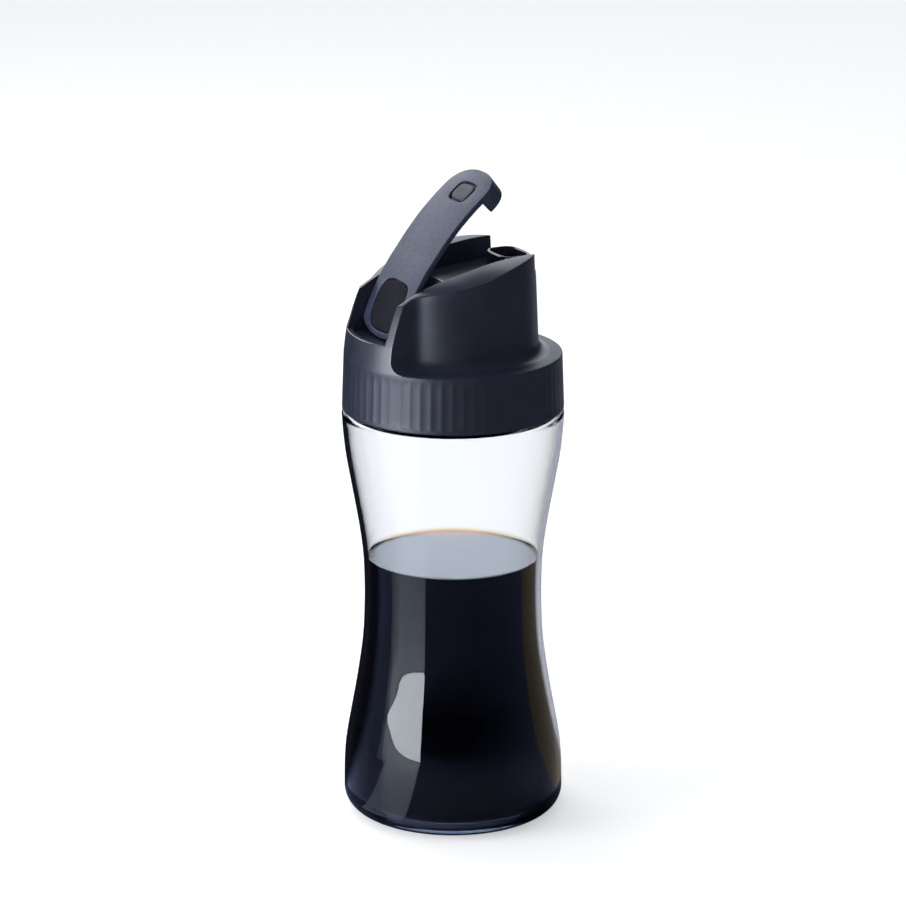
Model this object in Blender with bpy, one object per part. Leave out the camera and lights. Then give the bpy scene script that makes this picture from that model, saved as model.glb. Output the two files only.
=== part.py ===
"""Oil and vinegar dispenser: waisted clear bottle, screw cap with a pouring tower, and a
flip lever whose plug closes the spout.

The origin is the centre of the foot, +Z is up and the spout points along +X. Lengths are in
metres. The lever is drawn in its closed position, flush with the crest of the tower, and is
then turned back about its hinge to the open position.
"""

import math

import bmesh
import bpy
from mathutils import Matrix, Vector

# Clearances between touching pieces
FIT_GAP = 0.0003
STOP_GAP = 0.0004
THREAD_SPACE = 0.0012
CUT_OVERRUN = 0.004

# Bottle
BODY_RADIUS = 0.0431
WAIST_DEPTH = 0.0085
WAIST_HEIGHT = 0.090
SHOULDER_HEIGHT = 0.1634
SHOULDER_ROUND = 0.0024
BASE_ROUND = 0.0084
FOOT_WIDTH = 0.008
PUSH_UP_DEPTH = 0.0012
BOTTLE_WALL = 0.0018
BASE_THICKNESS = 0.0026
NECK_SET_IN = 0.0042
NECK_WALL = 0.0022
BOTTLE_SIDES = 48
LOWER_SIDE_SHARES = ((0.16, 1.0), (0.27, 0.95), (0.42, 0.70), (0.61, 0.34), (0.83, 0.05), (1.0, 0.0))
UPPER_SIDE_SHARES = ((0.0, 0.0), (0.16, 0.03), (0.31, 0.165), (0.56, 0.53), (0.80, 0.88), (0.96, 1.0))

# Vinegar
FILL_RISE = 0.0149

# Gasket under the cap
GASKET_THICKNESS = 0.0014
GASKET_WIDTH = 0.0026

# Screw skirt of the cap
CAP_SET_IN = 0.0001
SKIRT_DRAFT = 0.0008
SKIRT_HEIGHT = 0.0221
SKIRT_EDGE_ROUND = 0.0007
LEDGE_EDGE_ROUND = 0.0006
DECK_THICKNESS = 0.0019
FLUTE_COUNT = 64
FLUTE_DEPTH = 0.00038
FLUTE_MARGIN = 0.0015
FLUTE_FADE = 0.0030
SIDES_PER_FLUTE = 3

# Pouring tower on the cap
TOWER_CENTRE_X = 0.0003
LEDGE_FRONT_WIDTH = 0.0086
LEDGE_SIDE_WIDTH = 0.0109
TOWER_DRAFT_SHARE = 0.04
TOWER_FILLET = 0.0045
CAP_WALL = 0.0022
WING_WALL = 0.0040
WING_DRAFT_SHARE = 0.055
WING_BLEND_POWER = 8
COLLAR_HEIGHT = 0.0247
COLLAR_LEAN = 0.0062
COLLAR_LEAN_SHARES = (
    (0.0, 0.0), (0.22, 0.10), (0.41, 0.22), (0.575, 0.43), (0.74, 0.63), (0.88, 0.82), (1.0, 1.0), (1.7, 2.0),
)

# Crest of the tower: the height of the channel's edges along X
CREST_HEIGHT = 0.0391
CREST_FALL = 0.0143
CREST_SHARES = (
    (-1.40, 1.50), (-0.97, 1.0), (-0.74, 0.72), (-0.45, 0.48), (-0.19, 0.33), (0.07, 0.18),
    (0.33, 0.07), (0.62, 0.01), (0.80, 0.0), (1.40, 0.0),
)
CRESCENT_SLOPE_SHARE = 0.16
CRESCENT_LEVEL_SHARE = 0.75

# Channel that the lever lies in, and the thumb notch behind it
NOTCH_HALF_WIDTH = 0.0157
CHANNEL_FLARE = 0.0018
SILL_HEIGHT = 0.0099
SILL_WALL = 0.0023
WELL_LENGTH = 0.0103
THROAT_LENGTH = 0.0050
THROAT_HEIGHT = 0.0277
SHELF_RISE = 0.0036
SHELF_CURVE_SHARE = 0.7

# Hinge of the lever
HINGE_HEIGHT = 0.0216
OPEN_ANGLE_DEG = 38.2
TRUNNION_RADIUS = 0.0023
TRUNNION_REACH = 0.0032
EAR_RADIUS = 0.0042
EAR_THICKNESS = 0.0026
EAR_ROOT_LENGTH = 0.0070

# Lever
LEVER_SIDE_GAP = 0.0005
LEVER_THICKNESS = 0.0021
LEVER_REAR_SET_IN = 0.0052
LEVER_REAR_LENGTH = 0.01766
LEVER_REAR_ROUND = 0.0046
LEVER_REAR_POWER = 2.0
LEVER_FRONT_POWER = 2.4
LEVER_EDGE_CHAMFER = 0.00035
THUMB_DIP = 0.0027
THUMB_DIP_LENGTH = 0.0279
THUMB_DIP_SHARES = (
    (0.0, 0.0), (0.16, 0.11), (0.31, 0.215), (0.46, 0.30), (0.60, 0.355), (0.75, 0.38), (0.88, 0.53), (1.0, 1.0),
)
HOOD_DEPTH = 0.0072
HOOD_WALL = 0.0020
HOOD_GAP = 0.00135
HOOD_STEP = 0.0004

# Spout and its plug
MOUTH_SET_BACK = 0.0078
MOUTH_HALF_LENGTH = 0.0067
MOUTH_HALF_WIDTH = 0.0094
MOUTH_DROP = 0.0026
MOUTH_POWER = 3.4
SPOUT_WALL = 0.0013
SPOUT_LIP = 0.0004
SPOUT_THROAT_RISE = 0.0200
FUNNEL_SET_BACK = 0.0123
FUNNEL_HALF_LENGTH = 0.0150
FUNNEL_HALF_WIDTH = 0.0175
FUNNEL_RISE = 0.0030
INSERT_PLATE_THICKNESS = 0.0012
PLUG_HEAD_HALF_LENGTH = 0.0039
PLUG_HEAD_HALF_WIDTH = 0.0056
PLUG_HEAD_DEPTH = 0.0010
PLUG_GROOVE = 0.0006
PLUG_SHOULDER = 0.0012
PLUG_POWER = 3.6
PLUG_NOSE_DEPTH = 0.0020
PLUG_NOSE_SPACE = 0.0007
PLUG_NOSE_TAPER = 0.0007

# Thumb pad
PAD_HALF_WIDTH = 0.0097
PAD_LENGTH = 0.0178
PAD_MARGIN = 0.0021
PAD_DEPTH = 0.0010
PAD_SINK = 0.0002
PAD_POWER = 2.8

# Sizes and places that follow from the ones above
WAIST_RADIUS = BODY_RADIUS - WAIST_DEPTH
NECK_RADIUS = BODY_RADIUS - NECK_SET_IN
CAP_RADIUS = BODY_RADIUS - CAP_SET_IN
LEDGE_RADIUS = CAP_RADIUS - SKIRT_DRAFT
CAP_BORE_RADIUS = NECK_RADIUS + THREAD_SPACE
TOWER_HALF_LENGTH = LEDGE_RADIUS - LEDGE_FRONT_WIDTH - TOWER_CENTRE_X
TOWER_HALF_WIDTH = LEDGE_RADIUS - LEDGE_SIDE_WIDTH
WING_HALF_WIDTH = NOTCH_HALF_WIDTH + WING_WALL
CHANNEL_HALF_WIDTH = NOTCH_HALF_WIDTH + CHANNEL_FLARE
LEVER_HALF_WIDTH = NOTCH_HALF_WIDTH - LEVER_SIDE_GAP
TRUNNION_END_Y = NOTCH_HALF_WIDTH + TRUNNION_REACH

FILL_HEIGHT = WAIST_HEIGHT + FILL_RISE
SKIRT_Z = SHOULDER_HEIGHT + FIT_GAP
LEDGE_Z = SKIRT_Z + SKIRT_HEIGHT
DECK_UNDER_Z = LEDGE_Z - DECK_THICKNESS
GASKET_TOP_Z = DECK_UNDER_Z - FIT_GAP
NECK_TOP_Z = GASKET_TOP_Z - GASKET_THICKNESS - FIT_GAP
CREST_Z = LEDGE_Z + CREST_HEIGHT
SILL_Z = LEDGE_Z + SILL_HEIGHT
THROAT_Z = LEDGE_Z + THROAT_HEIGHT
SHELF_Z = THROAT_Z + SHELF_RISE
HINGE_Z = LEDGE_Z + HINGE_HEIGHT
MOUTH_Z = CREST_Z - MOUTH_DROP

TOWER_FRONT_X = TOWER_CENTRE_X + TOWER_HALF_LENGTH - TOWER_DRAFT_SHARE * CREST_HEIGHT
LEVER_FRONT_X = TOWER_FRONT_X + HOOD_GAP + HOOD_WALL
LEVER_REAR_X = LEVER_REAR_SET_IN - LEDGE_RADIUS
HINGE_X = LEVER_REAR_X + LEVER_REAR_LENGTH
WELL_FRONT_X = HINGE_X + WELL_LENGTH
THROAT_X = WELL_FRONT_X + THROAT_LENGTH
MOUTH_X = TOWER_FRONT_X - MOUTH_SET_BACK
FUNNEL_X = MOUTH_X - FUNNEL_SET_BACK
OPEN_ANGLE = math.radians(OPEN_ANGLE_DEG)


def smooth_curve(stations):
    """A function through the stations that never overshoots them (monotone cubic)."""
    xs = [x for x, _ in stations]
    ys = [y for _, y in stations]
    slopes = [(ys[i + 1] - ys[i]) / (xs[i + 1] - xs[i]) for i in range(len(xs) - 1)]
    tangents = [slopes[0]]
    for before, after in zip(slopes, slopes[1:]):
        tangents.append(0.0 if before * after <= 0 else 2 * before * after / (before + after))
    tangents.append(slopes[-1])

    def value(x):
        x = min(max(x, xs[0]), xs[-1])
        i = max(k for k in range(len(xs) - 1) if xs[k] <= x)
        step = xs[i + 1] - xs[i]
        t = (x - xs[i]) / step
        return (
            ys[i] * (1 + 2 * t) * (1 - t) ** 2
            + tangents[i] * step * t * (1 - t) ** 2
            + ys[i + 1] * t * t * (3 - 2 * t)
            + tangents[i + 1] * step * t * t * (t - 1)
        )

    return value


def spread(start, end, steps):
    return [start + (end - start) * k / steps for k in range(steps + 1)]


def material(name, colour, roughness, alpha=1.0):
    made = bpy.data.materials.new(name)
    made.use_nodes = True
    shader = made.node_tree.nodes["Principled BSDF"]
    shader.inputs["Base Color"].default_value = (*colour, 1.0)
    shader.inputs["Roughness"].default_value = roughness
    shader.inputs["Metallic"].default_value = 0.0
    shader.inputs["Alpha"].default_value = alpha
    return made


def add_object(name, mesh_builder, finish=None, origin=(0.0, 0.0, 0.0)):
    """An object whose origin is at the given place, from a bmesh drawn in world coordinates."""
    bmesh.ops.translate(mesh_builder, verts=mesh_builder.verts, vec=-Vector(origin))
    bmesh.ops.recalc_face_normals(mesh_builder, faces=mesh_builder.faces)
    mesh = bpy.data.meshes.new(name)
    mesh_builder.to_mesh(mesh)
    mesh_builder.free()
    mesh.shade_smooth()
    mesh.set_sharp_from_angle(angle=math.radians(35))
    made = bpy.data.objects.new(name, mesh)
    made.location = origin
    bpy.context.scene.collection.objects.link(made)
    if finish:
        mesh.materials.append(finish)
    else:
        made.hide_render = True
        made.display_type = "WIRE"
    return made


def boolean(target, tool, operation="DIFFERENCE"):
    """Hides the tool and applies it to the target with the exact solver."""
    tool.hide_render = True
    tool.display_type = "WIRE"
    modifier = target.modifiers.new(tool.name, "BOOLEAN")
    modifier.operation = operation
    modifier.solver = "EXACT"
    modifier.object = tool
    return target


def loft(rings, closed=False):
    """A solid skin through rings of points. An open loft is capped at its two ends."""
    built = bmesh.new()
    loops = [[built.verts.new(point) for point in ring] for ring in rings]
    pairs = list(zip(loops, loops[1:]))
    if closed:
        pairs.append((loops[-1], loops[0]))
    for lower, upper in pairs:
        for k in range(len(lower)):
            j = (k + 1) % len(lower)
            built.faces.new((lower[k], lower[j], upper[j], upper[k]))
    if not closed:
        built.faces.new(loops[0])
        built.faces.new(loops[-1])
    return built


def lathe(profile, sides):
    """Turns a closed profile of (radius, height) about Z. A zero radius ends in a pole."""
    built = bmesh.new()
    rings = []
    for radius, height in profile:
        if radius == 0:
            rings.append([built.verts.new((0.0, 0.0, height))] * sides)
            continue
        angles = [2 * math.pi * k / sides for k in range(sides)]
        rings.append(
            [built.verts.new((radius * math.cos(a), radius * math.sin(a), height)) for a in angles]
        )
    for lower, upper in zip(rings, rings[1:] + rings[:1]):
        if lower[0] is lower[1] and upper[0] is upper[1]:
            continue
        for k in range(sides):
            j = (k + 1) % sides
            corners = []
            for corner in (lower[k], lower[j], upper[j], upper[k]):
                if corner not in corners:
                    corners.append(corner)
            built.faces.new(corners)
    return built


def rounded_ring(centre_x, height, half_length, half_width, power, sides=36):
    """A horizontal superellipse: power 2 is an ellipse, and a higher one is more square."""
    ring = []
    for k in range(sides):
        angle = 2 * math.pi * k / sides
        across = abs(math.cos(angle) / half_length) ** power + abs(math.sin(angle) / half_width) ** power
        reach = across ** (-1 / power)
        ring.append((centre_x + reach * math.cos(angle), reach * math.sin(angle), height))
    return ring


def corner(centre_radius, centre_z, size, start_deg, end_deg, steps=4):
    """Points of a quarter-like arc in a profile."""
    return [
        (centre_radius + size * math.cos(math.radians(a)), centre_z + size * math.sin(math.radians(a)))
        for a in spread(start_deg, end_deg, steps)
    ]


def side_stations():
    """(height, outer radius) of the bottle's side, from the foot's round to the shoulder."""
    swell = BODY_RADIUS - WAIST_RADIUS
    rise = SHOULDER_HEIGHT - WAIST_HEIGHT
    lower = [(WAIST_HEIGHT * h, WAIST_RADIUS + swell * r) for h, r in LOWER_SIDE_SHARES]
    upper = [(WAIST_HEIGHT + rise * h, WAIST_RADIUS + swell * r) for h, r in UPPER_SIDE_SHARES]
    return lower + upper[1:]


def side_heights():
    """Heights of the rings on the bottle's side, which the vinegar shares."""
    stations = side_stations()
    return spread(stations[0][0], stations[-1][0], 14)


def make_bottle(finish):
    side = smooth_curve(side_stations())
    foot_radius = BODY_RADIUS - BASE_ROUND
    shoulder_centre = BODY_RADIUS - SHOULDER_ROUND
    outer = [(0.0, PUSH_UP_DEPTH), (foot_radius - FOOT_WIDTH - PUSH_UP_DEPTH, PUSH_UP_DEPTH)]
    outer.append((foot_radius - FOOT_WIDTH, 0.0))
    outer += corner(foot_radius, BASE_ROUND, BASE_ROUND, -90, 0)
    outer += [(side(z), z) for z in side_heights()]
    outer += corner(shoulder_centre, SHOULDER_HEIGHT - SHOULDER_ROUND, SHOULDER_ROUND, 0, 90, 3)
    outer += [(NECK_RADIUS, SHOULDER_HEIGHT), (NECK_RADIUS, NECK_TOP_Z)]
    floor_z = PUSH_UP_DEPTH + BASE_THICKNESS
    inner_round = BASE_ROUND - BOTTLE_WALL
    neck_bore = NECK_RADIUS - NECK_WALL
    inner = corner(foot_radius, floor_z + inner_round, inner_round, -90, 0)
    inner += [(side(z) - BOTTLE_WALL, z) for z in side_heights()]
    turn = SHOULDER_HEIGHT - BOTTLE_WALL
    inner += corner(shoulder_centre, turn - SHOULDER_ROUND, SHOULDER_ROUND - BOTTLE_WALL, 0, 90, 2)
    inner += [(neck_bore, turn), (neck_bore, NECK_TOP_Z)]
    profile = outer + list(reversed(inner)) + [(0.0, floor_z)]
    return add_object("bottle", lathe(profile, BOTTLE_SIDES), finish)


def make_vinegar(finish):
    side = smooth_curve(side_stations())
    floor_z = PUSH_UP_DEPTH + BASE_THICKNESS + FIT_GAP
    inset = BOTTLE_WALL + FIT_GAP
    foot_radius = BODY_RADIUS - BASE_ROUND
    inner_round = BASE_ROUND - inset
    profile = [(0.0, floor_z)]
    profile += corner(foot_radius, floor_z + inner_round, inner_round, -90, 0)
    wet = [z for z in side_heights() if z < FILL_HEIGHT] + [FILL_HEIGHT]
    profile += [(side(z) - inset, z) for z in wet]
    profile.append((0.0, FILL_HEIGHT))
    return add_object("vinegar", lathe(profile, BOTTLE_SIDES), finish)


def make_gasket(finish):
    outer = NECK_RADIUS
    inner = outer - GASKET_WIDTH
    low = NECK_TOP_Z + FIT_GAP
    profile = [(inner, low), (outer, low), (outer, GASKET_TOP_Z), (inner, GASKET_TOP_Z)]
    return add_object("lip_gasket", lathe(profile, BOTTLE_SIDES), finish)


def skirt_solid():
    """The fluted screw skirt with the ledge on top, still without its bore."""
    taper = (CAP_RADIUS - LEDGE_RADIUS) / SKIRT_HEIGHT
    rows = [(SKIRT_Z, CAP_RADIUS - SKIRT_EDGE_ROUND, 0.0)]
    rows.append((SKIRT_Z + SKIRT_EDGE_ROUND, CAP_RADIUS, 0.0))
    flute_low = SKIRT_Z + FLUTE_MARGIN
    flute_high = LEDGE_Z - FLUTE_MARGIN
    for z, cut in (
        (flute_low, 1.0),
        (flute_high - FLUTE_FADE, 1.0),
        (flute_high - FLUTE_FADE / 2, 0.7),
        (flute_high, 0.0),
    ):
        rows.append((z, CAP_RADIUS - taper * (z - SKIRT_Z), cut))
    rows.append((LEDGE_Z - LEDGE_EDGE_ROUND, LEDGE_RADIUS, 0.0))
    rows.append((LEDGE_Z, LEDGE_RADIUS - LEDGE_EDGE_ROUND, 0.0))
    count = FLUTE_COUNT * SIDES_PER_FLUTE
    rings = []
    for z, radius, cut in rows:
        ring = []
        for k in range(count):
            angle = 2 * math.pi * k / count
            valley = 0.0 if k % SIDES_PER_FLUTE == 0 else cut * FLUTE_DEPTH
            reach = radius - valley
            ring.append((reach * math.cos(angle), reach * math.sin(angle), z))
        rings.append(ring)
    return loft(rings)


def collar_radius(height):
    """Radius of the collar behind the tower, which leans inwards with height above the ledge."""
    lean = smooth_curve(COLLAR_LEAN_SHARES)(height / COLLAR_HEIGHT)
    return LEDGE_RADIUS - COLLAR_LEAN * lean


def tower_outline(z, inset=0.0):
    """The tower's plan at one height: an oval in front that runs into two straight wings
    behind, closed by the collar's arc. A fillet widens it just above the ledge."""
    height = z - LEDGE_Z
    rise = min(max(height, 0.0), TOWER_FILLET)
    flare = TOWER_FILLET - math.sqrt(TOWER_FILLET**2 - (TOWER_FILLET - rise) ** 2)
    if inset:
        flare = 0.0
    narrow = TOWER_DRAFT_SHARE * height - flare + inset
    half_length = TOWER_HALF_LENGTH - narrow
    half_width = TOWER_HALF_WIDTH - narrow
    wing = WING_HALF_WIDTH - WING_DRAFT_SHARE * height + flare - inset
    collar = collar_radius(max(height, 0.0)) - inset
    half = []
    for k in range(15):
        angle = math.pi / 2 * k / 15
        half.append(
            (TOWER_CENTRE_X + half_length * math.cos(angle), half_width * math.sin(angle))
        )
    back_x = -math.sqrt(collar**2 - wing**2)
    for share in spread(0.0, 1.0, 13):
        x = TOWER_CENTRE_X + (back_x - TOWER_CENTRE_X) * math.sin(share * math.pi / 2)
        oval = half_width * math.sqrt(max(1 - ((x - TOWER_CENTRE_X) / half_length) ** 2, 0.0))
        blend = wing * min(share / 0.4, 1.0)
        y = (oval**WING_BLEND_POWER + blend**WING_BLEND_POWER) ** (1 / WING_BLEND_POWER)
        if share == 1.0:
            y = wing
        half.append((x, y))
    turn = math.atan2(wing, back_x)
    for angle in spread(turn, math.pi, 6)[1:]:
        half.append((collar * math.cos(angle), collar * math.sin(angle)))
    mirrored = [(x, -y) for x, y in reversed(half[1:-1])]
    return [(x, y, z) for x, y in half + mirrored]


def tower_solid():
    fillet = [LEDGE_Z + TOWER_FILLET * (1 - math.cos(math.radians(a))) for a in spread(15, 90, 4)]
    low = [LEDGE_Z - DECK_THICKNESS / 2]
    walls = spread(fillet[-1], CREST_Z + CUT_OVERRUN / 2, 7)[1:]
    rings = [tower_outline(fillet[0])]
    rings[0] = [(x, y, low[0]) for x, y, _ in rings[0]]
    rings += [tower_outline(z) for z in fillet + walls]
    return loft(rings)


def crest_z(x):
    fall = smooth_curve(CREST_SHARES)(x / TOWER_HALF_LENGTH)
    return CREST_Z - CREST_FALL * fall


def crescent_slope(x):
    """How fast the top falls outwards beside the channel: level towards the front."""
    share = x / (CRESCENT_LEVEL_SHARE * TOWER_HALF_LENGTH)
    return CRESCENT_SLOPE_SHARE * min(max(1 - share, 0.0), 1.0)


def channel_half_width(x):
    share = min(max(1 + x / TOWER_HALF_LENGTH, 0.0), 1.0)
    return NOTCH_HALF_WIDTH + (CHANNEL_HALF_WIDTH - NOTCH_HALF_WIDTH) * share


def channel_floor(x):
    """Height of the channel's floor: the notch's sill, the throat's slope and the shelf."""
    if x <= WELL_FRONT_X:
        return SILL_Z
    if x <= THROAT_X:
        share = (x - WELL_FRONT_X) / (THROAT_X - WELL_FRONT_X)
        return SILL_Z + (THROAT_Z - SILL_Z) * share
    share = min((x - THROAT_X) / (TOWER_HALF_LENGTH - THROAT_X), 1.0)
    return THROAT_Z + (SHELF_Z - THROAT_Z) * share ** SHELF_CURVE_SHARE


def plan_stations():
    reach = LEDGE_RADIUS + CUT_OVERRUN
    behind = spread(-reach, WELL_FRONT_X, 9)
    ahead = spread(THROAT_X, reach, 12)
    return behind + ahead


def cut_above_crest():
    """Everything above the tower's top: flat across the channel, falling away outside it."""
    reach = LEDGE_RADIUS + CUT_OVERRUN
    top = CREST_Z + CUT_OVERRUN
    rings = []
    for x in plan_stations():
        inner = channel_half_width(x) - CUT_OVERRUN
        crest = crest_z(x)
        edge = channel_half_width(x)
        low = crest - crescent_slope(x) * (reach - edge)
        rings.append(
            [(x, -reach, top), (x, -reach, low), (x, -edge, crest), (x, -inner, crest),
             (x, inner, crest), (x, edge, crest), (x, reach, low), (x, reach, top)]
        )
    return add_object("cut_above_crest", loft(rings))


def cut_channel():
    top = CREST_Z + CUT_OVERRUN
    rings = []
    for x in plan_stations():
        side = channel_half_width(x)
        low = channel_floor(x)
        rings.append([(x, -side, top), (x, -side, low), (x, side, low), (x, side, top)])
    return add_object("cut_channel", loft(rings))


def cut_well(floor_z):
    """The pocket inside the notch's sill that the lever's thumb end swings down into."""
    inner = collar_radius(SILL_HEIGHT) - SILL_WALL
    side = NOTCH_HALF_WIDTH
    turn = math.atan2(side, -math.sqrt(inner**2 - side**2))
    half = [(WELL_FRONT_X, side)]
    half += [(inner * math.cos(a), inner * math.sin(a)) for a in spread(turn, math.pi, 7)]
    outline = half + [(x, -y) for x, y in reversed(half[:-1])]
    top = SILL_Z + CUT_OVERRUN
    return add_object("cut_well", loft([[(x, y, z) for x, y in outline] for z in (floor_z, top)]))


def cut_cavity(well_floor_z):
    """The hollow inside the tower, open below, under the floor and beside the channel."""
    rings = [tower_outline(LEDGE_Z - DECK_THICKNESS - CUT_OVERRUN, CAP_WALL)]
    rings += [tower_outline(z, CAP_WALL) for z in spread(LEDGE_Z, CREST_Z, 5)]
    cavity = add_object("cut_cavity", loft(rings))
    reach = LEDGE_RADIUS + CUT_OVERRUN
    top = CREST_Z + CUT_OVERRUN
    roofs = []
    for x in plan_stations():
        shifted = x - CAP_WALL
        roof = min(channel_floor(shifted), crest_z(x)) - CAP_WALL
        if shifted <= WELL_FRONT_X:
            roof = well_floor_z - CAP_WALL
        beside = channel_half_width(x) + CAP_WALL
        shoulder = roof
        if x > THROAT_X:
            shoulder = crest_z(x) - CAP_WALL - crescent_slope(x) * CAP_WALL
        low = shoulder - crescent_slope(x) * (reach - beside) if x > THROAT_X else roof
        roofs.append(
            [(x, -reach, top), (x, -reach, low), (x, -beside, shoulder), (x, -beside, roof),
             (x, beside, roof), (x, beside, shoulder), (x, reach, low), (x, reach, top)]
        )
    return boolean(cavity, add_object("cavity_roof", loft(roofs)))


def y_cylinder(radius, x, z, start_y, end_y, sides=20):
    angles = [2 * math.pi * k / sides for k in range(sides)]
    return loft(
        [[(x + radius * math.cos(a), y, z + radius * math.sin(a)) for a in angles] for y in (start_y, end_y)]
    )


def make_cap(finish, well_floor_z):
    cap = add_object("cap_body", skirt_solid(), finish)
    bore_low = SKIRT_Z - CUT_OVERRUN
    bore = [(0.0, bore_low), (CAP_BORE_RADIUS, bore_low)]
    bore += [(CAP_BORE_RADIUS, DECK_UNDER_Z), (0.0, DECK_UNDER_Z)]
    boolean(cap, add_object("cut_bore", lathe(bore, BOTTLE_SIDES)))
    tower = add_object("tower", tower_solid())
    boolean(tower, cut_above_crest())
    boolean(tower, cut_channel())
    boolean(tower, cut_well(well_floor_z))
    boolean(cap, tower, "UNION")
    boolean(cap, cut_cavity(well_floor_z))
    socket = TRUNNION_RADIUS + FIT_GAP
    end = TRUNNION_END_Y + FIT_GAP
    boolean(cap, add_object("cut_sockets", y_cylinder(socket, HINGE_X, HINGE_Z, -end, end)))
    hole = [
        rounded_ring(
            MOUTH_X, z, MOUTH_HALF_LENGTH + FIT_GAP, MOUTH_HALF_WIDTH + FIT_GAP, MOUTH_POWER
        )
        for z in (LEDGE_Z + SPOUT_THROAT_RISE - CUT_OVERRUN, MOUTH_Z)
    ]
    boolean(cap, add_object("cut_spout_hole", loft(hole)))
    return cap


def make_insert(finish):
    """The pour insert: a plate under the deck, a funnel and the spout that comes up through
    the channel's floor."""
    plate_radius = NECK_RADIUS - GASKET_WIDTH - FIT_GAP
    plate_top = GASKET_TOP_Z
    plate_low = plate_top - INSERT_PLATE_THICKNESS
    throat_z = LEDGE_Z + SPOUT_THROAT_RISE
    funnel_z = LEDGE_Z + FUNNEL_RISE
    wall = SPOUT_WALL
    length, width = MOUTH_HALF_LENGTH, MOUTH_HALF_WIDTH
    inner_length, inner_width = length - wall, width - wall
    lip_z = MOUTH_Z - SPOUT_LIP
    outer = [
        (0.0, plate_low, plate_radius, plate_radius, 2.0),
        (0.0, plate_top, plate_radius, plate_radius, 2.0),
        (FUNNEL_X, plate_top, FUNNEL_HALF_LENGTH, FUNNEL_HALF_WIDTH, 2.0),
        (FUNNEL_X, funnel_z, FUNNEL_HALF_LENGTH, FUNNEL_HALF_WIDTH, 2.0),
        (MOUTH_X, throat_z, length, width, MOUTH_POWER),
        (MOUTH_X, lip_z, length, width, MOUTH_POWER),
        (MOUTH_X, MOUTH_Z, length - SPOUT_LIP, width - SPOUT_LIP, MOUTH_POWER),
    ]
    inner = [
        (MOUTH_X, MOUTH_Z, inner_length + SPOUT_LIP, inner_width + SPOUT_LIP, MOUTH_POWER),
        (MOUTH_X, lip_z, inner_length, inner_width, MOUTH_POWER),
        (MOUTH_X, throat_z - wall, inner_length, inner_width, MOUTH_POWER),
        (FUNNEL_X, funnel_z - wall, FUNNEL_HALF_LENGTH - wall, FUNNEL_HALF_WIDTH - wall, 2.0),
        (FUNNEL_X, plate_low, FUNNEL_HALF_LENGTH - wall, FUNNEL_HALF_WIDTH - wall, 2.0),
    ]
    rings = [rounded_ring(*ring, sides=40) for ring in outer + inner]
    return add_object("pour_insert", loft(rings, closed=True), finish)


def lever_top(x):
    """Height of the closed lever's top face: flush with the crest, dipping under the thumb."""
    share = (LEVER_REAR_X + THUMB_DIP_LENGTH - x) / THUMB_DIP_LENGTH
    return crest_z(x) - THUMB_DIP * smooth_curve(THUMB_DIP_SHARES)(share)


def lever_point(x, y, depth):
    """A point at some depth square below the closed lever's top face."""
    step = LEVER_THICKNESS / 4
    slope = (lever_top(x + step) - lever_top(x - step)) / (2 * step)
    length = math.hypot(1.0, slope)
    return (x + depth * slope / length, y, lever_top(x) - depth / length)


def lever_half_width(x, inset=0.0):
    front = LEVER_FRONT_X - MOUTH_X
    half = LEVER_HALF_WIDTH - inset
    if x > MOUTH_X:
        share = min((x - MOUTH_X) / (front - inset), 1.0)
        return half * max(1 - share**LEVER_FRONT_POWER, 0.0) ** (1 / LEVER_FRONT_POWER)
    share = (LEVER_REAR_X + LEVER_REAR_ROUND - x) / LEVER_REAR_ROUND
    if share > 0:
        return half * max(1 - share**LEVER_REAR_POWER, 0.0) ** (1 / LEVER_REAR_POWER)
    return half


def lever_section(x, depth):
    side = lever_half_width(x)
    edge = min(LEVER_EDGE_CHAMFER, side / 2)
    outline = [(-side, edge), (-side, depth - edge), (edge - side, depth), (side - edge, depth)]
    outline += [(side, depth - edge), (side, edge), (side - edge, 0.0), (edge - side, 0.0)]
    return [lever_point(x, y, down) for y, down in outline]


def lever_stations():
    """(x, depth of the solid): the plate, and the deeper block round the spout's end."""
    rear = [
        LEVER_REAR_X + LEVER_REAR_ROUND * (1 - math.cos(math.radians(a))) for a in (6, 20, 36, 54, 72, 90)
    ]
    middle = spread(rear[-1], MOUTH_X - HOOD_STEP, 16)[1:]
    reach = LEVER_FRONT_X - MOUTH_X
    front = [MOUTH_X + reach * math.sin(math.radians(a)) for a in (0, 12, 24, 36, 48, 60, 70, 78, 84)]
    return [(x, LEVER_THICKNESS) for x in rear + middle] + [(x, HOOD_DEPTH) for x in front]


def hood_hollow():
    """The space inside the hood, which goes over the spout's mouth."""
    reach = LEVER_FRONT_X - MOUTH_X - HOOD_WALL
    stations = [MOUTH_X - CUT_OVERRUN]
    stations += [MOUTH_X + reach * math.sin(math.radians(a)) for a in (0, 15, 30, 45, 60, 72, 82)]
    rings = []
    for x in stations:
        side = lever_half_width(x, HOOD_WALL)
        low = HOOD_DEPTH + CUT_OVERRUN
        rings.append(
            [lever_point(x, y, d) for y, d in
             ((-side, LEVER_THICKNESS), (-side, low), (side, low), (side, LEVER_THICKNESS))]
        )
    return loft(rings)


def ear_solid(side):
    """One of the two ears that carry the trunnions, drawn as a plate square to Y."""
    far = LEVER_HALF_WIDTH
    near = far - EAR_THICKNESS
    outline = []
    for angle in spread(180, 360, 10):
        turn = math.radians(angle)
        outline.append((HINGE_X + EAR_RADIUS * math.cos(turn), HINGE_Z + EAR_RADIUS * math.sin(turn)))
    depth = LEVER_THICKNESS / 2
    for x in spread(HINGE_X + EAR_ROOT_LENGTH / 2, HINGE_X - EAR_ROOT_LENGTH / 2, 4):
        point = lever_point(x, 0.0, depth)
        outline.append((point[0], point[2]))
    return loft([[(x, side * y, z) for x, z in outline] for y in (near, far - LEVER_EDGE_CHAMFER)])


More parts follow.
